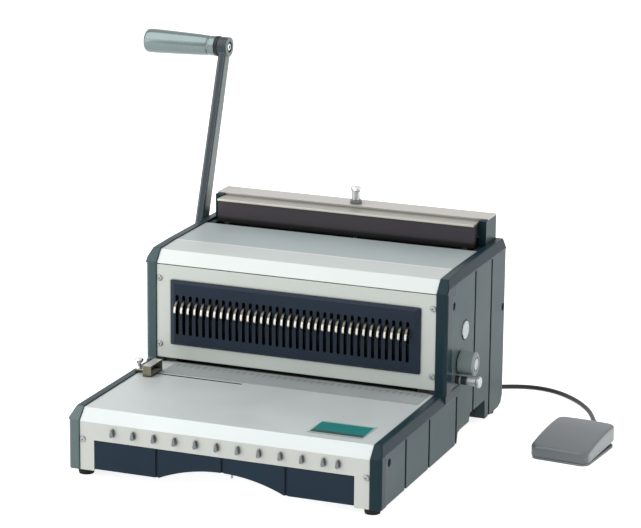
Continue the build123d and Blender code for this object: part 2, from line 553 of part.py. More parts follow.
def comb_and_hooks():
    """Bevelled comb plate, and the hook carriage that slides up and down behind it."""
    y0 = TOWER_Y - COMB_T
    y_edge = TOWER_Y - COMB_EDGE
    plate = box(-COMB_HALF, COMB_HALF, y_edge, TOWER_Y, COMB_Z0, COMB_Z1)
    plate = fillet(plate.edges().filter_by(Axis.Y), COMB_CORNER)
    raised = box(-COMB_HALF, COMB_HALF, y0, y_edge, COMB_Z0, COMB_Z1)
    x_in = COMB_HALF - COMB_BEVEL_X
    wedge = slab([(COMB_HALF, y_edge), (x_in, y0), (x_in, y0 - 1), (COMB_HALF + 1, y0 - 1),
                  (COMB_HALF + 1, y_edge)], COMB_Z0 - 1, COMB_Z1 + 1)
    for side in both(wedge):
        raised -= side
    for z_out, z_in in ((COMB_Z0, COMB_Z0 + COMB_BEVEL_Z), (COMB_Z1, COMB_Z1 - COMB_BEVEL_Z)):
        far = z_out + (z_out - z_in) * 3
        raised -= prism_x([(y_edge, z_out), (y0, z_in), (y0 - 1, z_in), (y0 - 1, far), (y_edge, far)],
                          -COMB_HALF - 1, COMB_HALF + 1)
    plate += raised
    slots = Compound(children=[stadium_y(x, SLOT_Z0, SLOT_Z1, SLOT_W, y0 - 1, TOWER_Y + 1) for x in SLOT_XS])
    keep("comb_plate", plate - slots)
    bar_y1 = HOOK_Y0 + HOOK_BAR
    bar_z1 = HOOK_Z0 + HOOK_BAR_H
    bar = box(SLOT_XS[0] - 4, SLOT_XS[-1] + 4, HOOK_Y0, bar_y1, HOOK_Z0, bar_z1)
    lug_y = HOOK_ROD_Y
    for side in (-1, 1):
        x = side * ROD_X
        bar += box(x - 6, x + 6, HOOK_Y0, lug_y + ROD_R + 3, HOOK_Z0, bar_z1)
        bar -= rod_z(HOOK_Z0 - 1, bar_z1 + 1, x, lug_y, ROD_R + RUN)
    # the rack leg on the right
    rack_back = RACK_PITCH_Y - 1.2 * RACK_MODULE
    rack_z0 = DIAL_Z - 8
    bar += box(ROD_X + 5, RACK_X0 + RACK_W, HOOK_Y0, rack_back, HOOK_Z0, bar_z1)
    bar += box(RACK_X0, RACK_X0 + RACK_W, rack_back - 5, rack_back, rack_z0, bar_z1)
    step = pi * RACK_MODULE
    tooth_r = RACK_MODULE * 0.8 + 1.2 * RACK_MODULE
    for k in range(-1, int(HOOK_TRAVEL / step) + 2):
        z = DIAL_Z + step * (k + 0.5)
        if z - 0.3 * step > rack_z0:
            bar += prism_x([(rack_back - 0.1, z - 0.30 * step), (rack_back + tooth_r, z - 0.13 * step),
                            (rack_back + tooth_r, z + 0.13 * step), (rack_back - 0.1, z + 0.30 * step)],
                           RACK_X0, RACK_X0 + RACK_W)
    keep("hook_bar", bar)
    hooks = []
    reach_y = TOWER_Y - HOOK_REACH
    for x in SLOT_XS:
        with BuildPart() as hook:
            with BuildSketch(Plane.YZ.offset(x - HOOK_T / 2)):
                with BuildLine():
                    outer_r = HOOK_R1
                    inner_r = HOOK_R0
                    mid = reach_y + outer_r
                    Polyline((HOOK_Y0, HOOK_Z0 + 1.5), (HOOK_Y0, HOOK_TOP_Z), (mid, HOOK_TOP_Z))
                    ThreePointArc((mid, HOOK_TOP_Z),
                                  (mid - outer_r * sin(radians(45)),
                                   HOOK_TOP_Z - outer_r * (1 - cos(radians(45)))),
                                  (reach_y, HOOK_TOP_Z - outer_r))
                    tip = HOOK_TIP_Z
                    Polyline((reach_y, HOOK_TOP_Z - outer_r), (reach_y + 0.6, tip), (reach_y + 2.0, tip),
                             (mid - inner_r, HOOK_TOP_Z - outer_r))
                    ThreePointArc((mid - inner_r, HOOK_TOP_Z - outer_r),
                                  (mid - inner_r * sin(radians(45)),
                                   HOOK_TOP_Z - outer_r + inner_r * cos(radians(45))),
                                  (mid, HOOK_TOP_Z - outer_r + inner_r))
                    Polyline((mid, HOOK_TOP_Z - outer_r + inner_r), (HOOK_Y0, HOOK_Z0 + 1.5))
                make_face()
            extrude(amount=HOOK_T)
        hooks.append(hook.part)
    keep("wire_hooks", *hooks)


def height_dial():
    """Big dial on the right; its pinion lifts the hook carriage by the rack leg."""
    pinion = Pos(0, DIAL_Y, DIAL_Z) * gear_x(RACK_TEETH, RACK_MODULE, RACK_X0, RACK_X0 + RACK_W,
                                             DIAL_SHAFT_R - 0.5, pi)
    shaft = rod_x(RACK_X0, OUT_X + DIAL_L - 4, DIAL_Y, DIAL_Z, DIAL_SHAFT_R)
    dial = rod_x(OUT_X + GAP, OUT_X + DIAL_L, DIAL_Y, DIAL_Z, DIAL_R)
    dial = fillet(dial.edges().filter_by(GeomType.CIRCLE).group_by(Axis.X)[-1], 2.0)
    end = OUT_X + DIAL_L
    ring = rod_x(end - DIAL_GROOVE, end + 1, DIAL_Y, DIAL_Z, DIAL_INLAY_R + DIAL_GROOVE)
    ring -= rod_x(end - DIAL_GROOVE - 1, end + 2, DIAL_Y, DIAL_Z, DIAL_INLAY_R)
    keep("height_dial", dial + shaft + pinion - ring)


def depth_stop():
    """Back stop in the throat; an eccentric pin on the small knob's shaft shifts it."""
    z0 = DECK_Z + 0.4
    z1 = THROAT_Z - 0.4
    tab_x0 = RACK_X0 + RACK_W + 2
    pin_y = STOP_Y - STOP_THROW
    bar = box(-DIE_HALF + 1, tab_x0 + 3, STOP_Y, STOP_Y + 4, z0, z1)
    tab = box(tab_x0, tab_x0 + 3, pin_y - 6, STOP_Y + 4, z0, STOP_Z + 8)
    reach = STOP_PIN_R + 0.55
    tall = STOP_PIN_R + STOP_THROW + 0.5
    tab -= box(tab_x0 - 1, tab_x0 + 4, pin_y - reach, pin_y + reach, STOP_Z - tall, STOP_Z + tall)
    keep("depth_stop_bar", bar + tab)
    x0 = OUT_X + STOP_NECK
    x1 = x0 + STOP_KNOB_L
    shaft = rod_x(tab_x0 + 4, x0, STOP_Y, STOP_Z, STOP_SHAFT_R)
    shaft += rod_x(tab_x0 - 0.5, tab_x0 + 4, pin_y, STOP_Z, STOP_PIN_R)
    body_r = STOP_KNOB_R - 1.3
    outline = [(0, x0), (body_r - 0.5, x0), (body_r, x0 + 1.2), (body_r, x1 - 5), (STOP_KNOB_R, x1 - 3),
               (STOP_KNOB_R, x1 - 0.8), (STOP_KNOB_R - 0.8, x1), (0, x1)]
    knob = revolve(Plane.XZ * make_face(Polyline(*outline, close=True)), Axis.Z)
    knob = Pos(0, STOP_Y, STOP_Z) * Rot(0, 90, 0) * knob
    keep("depth_knob", knob + shaft)


def punch_unit():
    """Die, punch guide, ram with its punches, eccentric shaft, gears and motor."""
    half = PUNCH_SIDE / 2 + 0.15
    holes = Compound(children=[box(x - half, x + half, PUNCH_Y - half, PUNCH_Y + half,
                                   DIE_BOTTOM_Z - 1, GUIDE_TOP_Z + 1) for x in SLOT_XS])
    die = box(-DIE_HALF, DIE_HALF, DIE_Y0, DIE_Y1, DIE_BOTTOM_Z, DECK_Z) - holes
    guide = box(-DIE_HALF, DIE_HALF, DIE_Y0, DIE_Y1, THROAT_Z, GUIDE_TOP_Z) - holes
    keep("die_block", die)
    keep("punch_guide", guide)
    rack_front = RACK_PITCH_Y - 1.2 * RACK_MODULE - 5
    bracket = box(DIE_HALF, IN_X, DIE_Y0, rack_front - 2, DIE_BOTTOM_Z, GUIDE_TOP_Z)
    brackets = both(bracket)
    support = box(-IN_X, IN_X, DIE_Y0, DIE_Y1, DIE_BOTTOM_Z - 12, DIE_BOTTOM_Z)
    support -= box(SLOT_XS[0] - 5, SLOT_XS[-1] + 5, PUNCH_Y - 7, PUNCH_Y + 7,
                   DIE_BOTTOM_Z - 13, DIE_BOTTOM_Z + 1)
    keep("die_support", support + brackets)
    side = PUNCH_SIDE / 2
    tip = THROAT_Z + 1.5
    punches = [box(x - side, x + side, PUNCH_Y - side, PUNCH_Y + side, tip, RAM_Z0) for x in SLOT_XS]
    keep("punches", *punches)
    ram = box(-DIE_HALF + 1, DIE_HALF - 1, RAM_Y0, RAM_Y1, RAM_Z0, RAM_TOP_Z)
    for s in (-1, 1):
        ram -= rod_z(RAM_Z0 - 1, RAM_TOP_Z + 1, s * POST_X, POST_Y, POST_R + RUN)
    ram -= box(-CAM_X + 20, CAM_X - 20, PUNCH_Y + 14, RAM_Y1 - 10, RAM_Z0 - 1, RAM_TOP_Z + 1)
    keep("punch_ram", ram)
    height = RAM_Z0 - GUIDE_TOP_Z
    wire = SPRING_WIRE
    coil = Helix(pitch=(height - 2 * wire) / 4, height=height - 2 * wire, radius=SPRING_R)
    profile = Plane(coil @ 0, z_dir=coil % 0) * Circle(wire)
    spring = sweep(profile, path=coil, is_frenet=True)
    springs = [Pos(s * POST_X, POST_Y, GUIDE_TOP_Z + wire) * spring for s in (-1, 1)]
    keep("ram_springs", *springs)
    # eccentric shaft: at rest the eccentrics point up
    right_end = OUT_X - 3
    shaft = rod_x(-SHEET_HALF, right_end, CAM_Y, CAM_Z, CAM_SHAFT_R)
    for s in (-1, 1):
        x = s * CAM_X
        shaft += rod_x(x - CAM_W / 2, x + CAM_W / 2, CAM_Y, CAM_Z + PUNCH_STROKE / 2, CAM_R)
    cap = rod_x(right_end, OUT_X + 0.5, CAM_Y, CAM_Z, CAM_SHAFT_R + 3)
    cap = fillet(cap.edges().filter_by(GeomType.CIRCLE).group_by(Axis.X)[-1], 1.0)
    keep("cam_shaft", shaft + cap)
    bushes = []
    for y, z, r in ((CAM_Y, CAM_Z, CAM_SHAFT_R), (PIVOT_Y, PIVOT_Z, PIVOT_R)):
        bush = rod_x(IN_X - 1, SHEET_HALF, y, z, r + 3) - rod_x(IN_X - 2, SHEET_HALF + 1, y, z, r + RUN)
        bushes += both(bush)
    keep("shaft_bushes", *bushes)
    gear = gear_x(GEAR_TEETH, GEAR_MODULE, GEAR_X0, GEAR_X0 + GEAR_W, CAM_SHAFT_R, radians(-45))
    for k in range(6):
        a = 2 * pi * k / 6 + radians(15)
        gear -= rod_x(GEAR_X0 - 1, GEAR_X0 + GEAR_W + 1, 26 * cos(a), 26 * sin(a), 8)
    keep("drive_gear", Pos(0, CAM_Y, CAM_Z) * gear)
    pinion = gear_x(PINION_TEETH, GEAR_MODULE, GEAR_X0, GEAR_X0 + GEAR_W, 4.0,
                    radians(135) + pi / PINION_TEETH)
    pinion = Pos(0, PINION_Y, PINION_Z) * pinion
    motor_x0 = MOTOR_X0
    pinion_shaft = rod_x(GEAR_X0, motor_x0 + 10, PINION_Y, PINION_Z, 5)
    keep("motor_pinion", pinion + pinion_shaft)
    body_x0 = motor_x0 + GEARBOX_W
    gearbox_z0 = PINION_Z - 30
    gearbox = box(motor_x0, body_x0, RAM_Y1 + 3, PINION_Y + 24, gearbox_z0, gearbox_z0 + GEARBOX_H)
    gearbox = fillet(gearbox.edges().filter_by(Axis.X), 5)
    gearbox -= rod_x(motor_x0 - 1, motor_x0 + 12, PINION_Y, PINION_Z, 5 + RUN)
    body = rod_x(body_x0, body_x0 + MOTOR_L, MOTOR_Y, MOTOR_Z, MOTOR_R)
    body = fillet(body.edges().filter_by(GeomType.CIRCLE).group_by(Axis.X)[-1], 6)
    keep("gear_motor", gearbox + body)


def drawer():
    """Waste drawer: arched front, shallow tray, and the rails that it slides on."""
    half = DRAWER_HALF - 0.6
    front = box(-half, half, 0, DRAWER_FACE, DRAWER_Z0, DRAWER_Z1 - 0.4)
    arch_r = (ARCH_HALF ** 2 + ARCH_RISE ** 2) / (2 * ARCH_RISE)
    front -= rod_y(-1, DRAWER_FACE + 1, ARCH_X, ARCH_TOP_Z - arch_r, arch_r)
    for x in DRAWER_GROOVES:
        front -= box(x - 1.7, x + 1.7, -1, 1.6, DRAWER_Z0 - 1, DRAWER_Z1 + 1)
    keep("drawer_front", front)
    top = DRAWER_Z1 - 1.2
    tray = box(-TRAY_HALF, TRAY_HALF, DRAWER_FACE, TRAY_END_Y, TRAY_Z0, top)
    tray -= box(-TRAY_HALF + TRAY_T, TRAY_HALF - TRAY_T, DRAWER_FACE + TRAY_T, TRAY_END_Y - TRAY_T,
                TRAY_Z0 + TRAY_T, top + 1)
    runner_z = RUNNER_Z + GAP
    runner = box(TRAY_HALF, DRAWER_HALF - 2 * GAP, DRAWER_FACE, TRAY_END_Y, runner_z, runner_z + TRAY_T)
    for side in both(runner):
        tray += side
    latch = box(8.5, 11.5, DRAWER_FACE, 26, TRAY_Z0 - 0.8, TRAY_Z0)
    latch += box(8.9, 11.1, DRAWER_FACE + 1, DRAWER_FACE + 2.5, ARCH_TOP_Z - 6, TRAY_Z0)
    keep("drawer_tray", tray + latch)


def chassis():
    """Floor of the tower, rear cover, deck stiffener and feet."""
    z = FOOT_H
    pan = box(-IN_X, IN_X, DIE_Y0 - 6, REAR_Y - SHEET, z, z + SHEET)
    pan += box(-IN_X, IN_X, DIE_Y0 - 6, DIE_Y0 - 6 + SHEET, z, z + 14)
    floor_z = z + SHEET
    cradle = box(MOTOR_X0 + 60, MOTOR_X0 + 130, MOTOR_Y - 24, MOTOR_Y + 24, floor_z, MOTOR_Z)
    cradle -= rod_x(MOTOR_X0, MOTOR_X0 + 160, MOTOR_Y, MOTOR_Z, MOTOR_R)
    cradle -= box(MOTOR_X0 + 66, MOTOR_X0 + 124, MOTOR_Y - 25, MOTOR_Y + 25, floor_z + 3, MOTOR_Z + 1)
    rods = []
    for s in (-1, 1):
        rods.append(rod_z(GUIDE_TOP_Z, UPPER_BEAM_Z, s * ROD_X, HOOK_ROD_Y, ROD_R))
        rods.append(rod_z(GUIDE_TOP_Z, UPPER_BEAM_Z, s * POST_X, POST_Y, POST_R))
    keep("guide_rods", *rods)
    rear = box(-SHEET_HALF, SHEET_HALF, REAR_Y - SHEET, REAR_Y, z, TOP_Z - SHEET)
    for k in range(9):
        x = -96 + 24 * k
        rear -= stadium_y(x, 84, 150, 5, REAR_Y - SHEET - 1, REAR_Y + 1)
    rear -= box(-124, -96, REAR_Y - 4, REAR_Y + 1, 30, 50)
    rear -= box(-79, -61, REAR_Y - 4, REAR_Y + 1, 28, 52)
    rear -= rod_y(REAR_Y - 4, REAR_Y + 1, SOCKET_X, SOCKET_Z, 8)
    keep("rear_chassis", pan + cradle + rear)
    beam = box(-IN_X, IN_X, BEAM_Y0, BEAM_Y0 + 12, BEAM_Z1 - 20, BEAM_Z1)
    beam -= rod_z(BEAM_Z1 - 8, BEAM_Z1 + 1, DIAL_TOP_X, DIAL_TOP_Y, SPINDLE_R + RUN)
    upper = box(-IN_X, IN_X, HOOK_Y0, POST_Y + POST_R + 2, UPPER_BEAM_Z, SEAM_Z - 1)
    middle = box(-IN_X, IN_X, 92, 104, DECK_Z - SHEET - 14, DECK_Z - SHEET)
    keep("cross_beams", beam, upper, middle)
    foot_x = SHEET_HALF - 1.5
    feet = []
    for y in (14.0, REAR_Y - 16):
        for s in (-1, 1):
            foot = Pos(s * foot_x, y, FOOT_H / 2) * Cone(8.6, 10.2, FOOT_H)
            foot -= rod_z(-1, 3.5, s * foot_x, y, 4)
            feet.append(foot)
    keep("feet", *feet)


def electrics():
    """Mains inlet, rocker switch, pedal socket, control board and transformer."""
    inlet = box(-123.7, -96.3, REAR_Y - 22, REAR_Y, 30.3, 49.7)
    inlet += box(-130, -57, REAR_Y, REAR_Y + 2, 25, 55)
    inlet += box(-78.7, -61.3, REAR_Y - 14, REAR_Y, 28.3, 51.7)
    inlet -= box(-77, -63, REAR_Y - 10, REAR_Y + 3, 29.4, 50.6)
    inlet -= box(-121.5, -98.5, REAR_Y - 16, REAR_Y + 3, 32.5, 47.5)
    for x, z in ((-114, 42), (-106, 42), (-110, 37)):
        inlet += box(x - 1, x + 1, REAR_Y - 17, REAR_Y - 4, z - 2, z + 2)
    keep("mains_inlet", inlet)
    rocker = prism_x([(REAR_Y - 7, 34), (REAR_Y - 7, 46), (REAR_Y + 1, 48.3), (REAR_Y + 2.4, 40),
                      (REAR_Y + 4.6, 31.7)], -76.4, -63.6)
    rocker += rod_x(-77, -63, REAR_Y - 2, 40, 1.5)
    keep("switch_rocker", rocker)
    socket = rod_y(REAR_Y - 18, REAR_Y + 2, SOCKET_X, SOCKET_Z, 7.8)
    socket += rod_y(REAR_Y, REAR_Y + 2, SOCKET_X, SOCKET_Z, 10)
    socket -= rod_y(REAR_Y - 10, REAR_Y + 3, SOCKET_X, SOCKET_Z, 5)
    keep("pedal_socket", socket)
    floor_z = FOOT_H + SHEET
    x0 = BOARD_X0
    y0 = REAR_Y - BOARD_BEHIND
    board_z = floor_z + BOARD_LIFT
    top = board_z + BOARD_T
    board = box(x0, x0 + BOARD_W, y0, y0 + BOARD_D, board_z, top)
    for x in (x0 + 6, x0 + BOARD_W - 6):
        for y in (y0 + 6, y0 + BOARD_D - 6):
            board += rod_z(floor_z, board_z, x, y, 3)
    for x, y, w, d, h in BOARD_PARTS:
        board += box(x0 + x, x0 + x + w, y0 + y, y0 + y + d, top, top + h)
    core_x = x0 + 14
    core_y = y0 + 3
    w, d, h = CORE
    core = box(core_x, core_x + w, core_y, core_y + d, top, top + h)
    core += box(core_x + 8, core_x + w - 8, core_y - 4, core_y + d + 4, top + 6, top + h - 6)
    keep("control_board", board + core)


def lever():
    """Hand lever on the left: cast arm, spinning grip, cross shaft and its cranks."""
    lean = radians(LEVER_LEAN)
    up = (sin(lean), cos(lean))
    side = (cos(lean), -sin(lean))

    def at(along, across):
        return (PIVOT_Y + along * up[0] + across * side[0], PIVOT_Z + along * up[1] + across * side[1])

    w0 = LEVER_W0 / 2
    w1 = LEVER_W1 / 2
    arm = prism_x([at(0, -w0), at(0, w0), at(LEVER_L, w1), at(LEVER_L, -w1)], LEVER_X0, LEVER_X1)
    arm = chamfer(arm.faces().sort_by(Axis.X)[0].outer_wire().edges(), 3.2)
    arm = chamfer(arm.faces().sort_by(Axis.X)[-1].outer_wire().edges(), 1.6)
    arm += rod_x(LEVER_X0, LEVER_X1, PIVOT_Y, PIVOT_Z, HUB_R)
    arm += rod_x(LEVER_X0 - 1, LEVER_X1 + 1, GRIP_Y, GRIP_Z, EYE_R)
    arm -= rod_x(LEVER_X0 - 2, LEVER_X1 + 2, PIVOT_Y, PIVOT_Z, PIVOT_R + 0.02)
    arm -= rod_x(LEVER_X0 - 2, LEVER_X1 + 2, GRIP_Y, GRIP_Z, 4.02)
    arm -= rod_x(LEVER_X1 - 2.5, LEVER_X1 + 2, GRIP_Y, GRIP_Z, 7.0)
    keep("lever_arm", arm)
    grip_x1 = LEVER_X0 - 5
    grip_x0 = grip_x1 - GRIP_L
    # pin: head in the eye's counterbore, the grip turns on it
    pin = rod_x(grip_x0 + 12, LEVER_X1 - 2, GRIP_Y, GRIP_Z, 4.0)
    pin += rod_x(LEVER_X1 - 2.5, LEVER_X1, GRIP_Y, GRIP_Z, 6.6)
    pin -= rod_x(LEVER_X1 - 1.2, LEVER_X1 + 1, GRIP_Y, GRIP_Z, 2.4)
    collar = rod_x(grip_x1 + GAP, LEVER_X0 - 1, GRIP_Y, GRIP_Z, GRIP_R0 + 0.3)
    keep("grip_pin", pin + collar)
    neck = grip_x1 - 9
    outline = [(0, grip_x1), (GRIP_R0, grip_x1), (GRIP_R0 - 0.6, neck), (GRIP_R0 + 0.3, neck - 3),
               (GRIP_R1, grip_x0 + 10), (GRIP_R1 - 0.6, grip_x0 + 3), (GRIP_R1 - 3.5, grip_x0), (0, grip_x0)]
    grip = revolve(Plane.XZ * make_face(Polyline(*outline, close=True)), Axis.Z)
    grip = Pos(0, GRIP_Y, GRIP_Z) * Rot(0, 90, 0) * grip
    grip -= rod_x(grip_x0 + 11.5, grip_x1 + 1, GRIP_Y, GRIP_Z, 4.0 + RUN)
    keep("lever_grip", grip)
    shaft = rod_x(LEVER_X0, SHEET_HALF - 1, PIVOT_Y, PIVOT_Z, PIVOT_R)
    bolt = rod_x(LEVER_X0 - 5, LEVER_X0 - 2, PIVOT_Y, PIVOT_Z, 5)
    bolt -= rod_x(LEVER_X0 - 6, LEVER_X0 - 3.4, PIVOT_Y, PIVOT_Z, 2.5)
    bolt += rod_x(LEVER_X0 - 2, LEVER_X0, PIVOT_Y, PIVOT_Z, 10)
    shaft += bolt
    rise = degrees(atan2(CRANK_PIN_Z - PIVOT_Z, PIVOT_Y - CRANK_PIN_Y))
    for x0, pin_x1 in ((CRANK_X, LEG_X + LEG_T + 1), (-CRANK_X - CRANK_T, -LEG_X - LEG_T - 1)):
        crank = rod_x(x0, x0 + CRANK_T, PIVOT_Y, PIVOT_Z, 13)
        crank += rod_x(x0, x0 + CRANK_T, CRANK_PIN_Y, CRANK_PIN_Z, 6.5)
        web = Pos(x0 + CRANK_T / 2, (PIVOT_Y + CRANK_PIN_Y) / 2, (PIVOT_Z + CRANK_PIN_Z) / 2) \
            * Rot(-rise, 0, 0) * Box(CRANK_T, CRANK_R, 13)
        crank += web
        far = x0 + CRANK_T if pin_x1 > 0 else x0
        crank += rod_x(min(far, pin_x1), max(far, pin_x1), CRANK_PIN_Y, CRANK_PIN_Z, CRANK_PIN_R)
        shaft += crank
    keep("closer_shaft", shaft)


def closer():
    """Press bar that the cranks pull down, the anvil under it, end caps and cover."""
    bar_half = SHEET_HALF - CAP_X - 0.5
    strip_z = PRESS_Z0 + PRESS_H
    y1 = PRESS_Y0 + PRESS_T
    bar = box(-bar_half, bar_half, PRESS_Y0, y1, PRESS_Z0, strip_z)
    keep("press_strip", box(-bar_half, bar_half, STRIP_Y0, COVER_Y0 - GAP, strip_z, strip_z + STRIP_T))
    back = y1 + 8
    shaft_r = PIVOT_R + 0.4
    slot_half = CRANK_PIN_R + CRANK_GAP
    lug_y0 = PIVOT_Y - CRANK_R - slot_half - 5
    neck = COVER_END_Y + 5
    outline = [(lug_y0, CRANK_PIN_Z - 9), (lug_y0, CRANK_PIN_Z + 9), (neck, CRANK_PIN_Z + 16),
               (neck, PRESS_Z0 - 14), (PRESS_Y0, PRESS_Z0 - 6),
               (PRESS_Y0, PRESS_Z0), (y1, PRESS_Z0), (y1, strip_z - 1), (back, strip_z - 1),
               (back, PIVOT_Z - 16), (lug_y0 + 16, PIVOT_Z - 16), (lug_y0 + 16, CRANK_PIN_Z - 9)]
    legs = []
    for x0 in (LEG_X, -LEG_X - LEG_T):
        x1 = x0 + LEG_T
        leg = prism_x(outline, x0, x1)
        leg -= box(x0 - 1, x1 + 1, PIVOT_Y - shaft_r, PIVOT_Y + shaft_r, PIVOT_Z, PIVOT_Z + PRESS_TRAVEL)
        leg -= rod_x(x0 - 1, x1 + 1, PIVOT_Y, PIVOT_Z, shaft_r)
        leg -= rod_x(x0 - 1, x1 + 1, PIVOT_Y, PIVOT_Z + PRESS_TRAVEL, shaft_r)
        leg -= box(x0 - 1, x1 + 1, PIVOT_Y - CRANK_R, CRANK_PIN_Y,
                   CRANK_PIN_Z - slot_half, CRANK_PIN_Z + slot_half)
        leg -= rod_x(x0 - 1, x1 + 1, PIVOT_Y - CRANK_R, CRANK_PIN_Z, slot_half)
        leg -= rod_x(x0 - 1, x1 + 1, CRANK_PIN_Y, CRANK_PIN_Z, slot_half)
        legs.append(leg)
    keep("closer_legs", *legs)
    tongue = box(DIAL_TOP_X - 12, DIAL_TOP_X + 12, y1, DIAL_TOP_Y + 8, PRESS_Z0 + 2, PRESS_Z0 + 6)
    tongue -= rod_z(PRESS_Z0, PRESS_Z0 + 8, DIAL_TOP_X, DIAL_TOP_Y, SPINDLE_R + 1)
    keep("press_bar", bar + tongue)
    anvil = box(-ANVIL_HALF, ANVIL_HALF, COVER_END_Y + 3, BEAM_Y0, ANVIL_Z - 8, ANVIL_Z)
    anvil += box(-ANVIL_HALF, ANVIL_HALF, BEAM_Y0 - 6, BEAM_Y0, BEAM_Z1 - 20, ANVIL_Z)
    keep("closer_anvil", anvil)
    z0 = TOP_Z - SHEET
    cap = box(SHEET_HALF - CAP_X, SHEET_HALF, CAP_Y0, REAR_Y - SHEET, z0, CLOSER_TOP_Z - SHEET)
    keep("closer_end_caps", *both(cap))
    under = CLOSER_TOP_Z - SHEET
    cover = prism_x([(COVER_Y0, under), (COVER_Y0, CLOSER_TOP_Z), (REAR_Y, CLOSER_TOP_Z), (REAR_Y, z0),
                     (REAR_Y - SHEET, z0), (REAR_Y - SHEET, under)], -SHEET_HALF, SHEET_HALF)
    cover += box(-bar_half, bar_half, COVER_Y0, COVER_Y0 + SHEET, CLOSER_TOP_Z - COVER_LIP, CLOSER_TOP_Z - 1)
    cover -= rod_z(CLOSER_TOP_Z - 3, CLOSER_TOP_Z + 1, DIAL_TOP_X, DIAL_TOP_Y, SPINDLE_R + RUN)
    keep("closer_cover", cover)
    nut_z1 = CLOSER_TOP_Z + 4
    locknut = Pos(DIAL_TOP_X, DIAL_TOP_Y, CLOSER_TOP_Z) * extrude(RegularPolygon(7.6, 6), amount=4)
    locknut -= rod_z(CLOSER_TOP_Z - 1, nut_z1 + 1, DIAL_TOP_X, DIAL_TOP_Y, SPINDLE_R + RUN)
    keep("stop_locknut", locknut)
    outline = [(0, nut_z1 + 0.2), (4.9, nut_z1 + 0.2), (5.3, nut_z1 + 10.5), (6.7, nut_z1 + 12.5),
               (6.7, nut_z1 + 15.2), (6.0, nut_z1 + 16), (0, nut_z1 + 16)]
    knob = revolve(Plane.XZ * make_face(Polyline(*outline, close=True)), Axis.Z)
    knob = Pos(DIAL_TOP_X, DIAL_TOP_Y, 0) * knob
    spindle = rod_z(BEAM_Z1 - 7.5, nut_z1 + 8, DIAL_TOP_X, DIAL_TOP_Y, SPINDLE_R)
    keep("stop_knob", knob + spindle)
    stop_top = PRESS_Z0 + 2 - PRESS_TRAVEL - 1 - STOP_LIFT
    nut = box(DIAL_TOP_X - 10, DIAL_TOP_X + 10, BEAM_Y0 + 0.4, DIAL_TOP_Y + 7, stop_top - 7, stop_top)
    nut -= rod_z(stop_top - 8, stop_top + 1, DIAL_TOP_X, DIAL_TOP_Y, SPINDLE_R + RUN)
    keep("stop_nut", nut)


def edge_guide():
    """Side guide for the sheets: folded block, its runner under the deck and its clamp."""
    z0 = DECK_Z + SCALE_T + GAP
    z1 = DECK_Z + GUIDE_H_BLOCK
    block = box(GUIDE_X0, GUIDE_X1, GUIDE_Y0, GUIDE_Y1, z0, z1)
    block -= box(GUIDE_X0 + 2, GUIDE_X1 + 1, GUIDE_Y0 + 1.5, GUIDE_Y1 - 1.5, z0 + 1.5, z1 - 1.6)
    arm_z = DECK_Z + GUIDE_ARM_Z
    arm = box(GUIDE_KNOB_X, GUIDE_X0 + 1, GUIDE_SLOT_Y - 5, GUIDE_SLOT_Y + 5, arm_z, arm_z + 2.4)
    arm += rod_z(arm_z, arm_z + 2.4, GUIDE_KNOB_X, GUIDE_SLOT_Y, 5)
    arm -= rod_z(DECK_Z, arm_z + 4, GUIDE_KNOB_X, GUIDE_SLOT_Y, 1.5 + RUN)
    key_x1 = GUIDE_X0 + 6
    key = box(GUIDE_X0 + 0.5, key_x1, GUIDE_SLOT_Y - 1.4, GUIDE_SLOT_Y + 1.4, DECK_Z - SHEET - 1, DECK_Z + 1)
    key += box(GUIDE_X0 + 0.5, key_x1, GUIDE_SLOT_Y - 4, GUIDE_SLOT_Y + 4, DECK_Z - SHEET - 2.5,
               DECK_Z - SHEET - 0.3)
    keep("edge_guide", block + arm + key)
    outline = [(0, 2.5), (3.6, 2.5), (2.4, 5.0), (2.6, 8.0), (5.2, 11.6), (5.5, 13.2), (4.2, 14.6),
               (0, 14.6)]
    knob = revolve(Plane.XZ * make_face(Polyline(*outline, close=True)), Axis.Z)
    knob = Pos(GUIDE_KNOB_X, GUIDE_SLOT_Y, arm_z) * knob
    knob += rod_z(DECK_Z + RIM + 0.35, arm_z + 3, GUIDE_KNOB_X, GUIDE_SLOT_Y, 1.5)
    keep("guide_clamp", knob)


def pedal_place(shape):
    """From the pedal's own axes, u across and v back from its middle, to the machine's."""
    return Pos(PEDAL_X, PEDAL_Y, 0) * Rot(0, 0, PEDAL_YAW) * shape


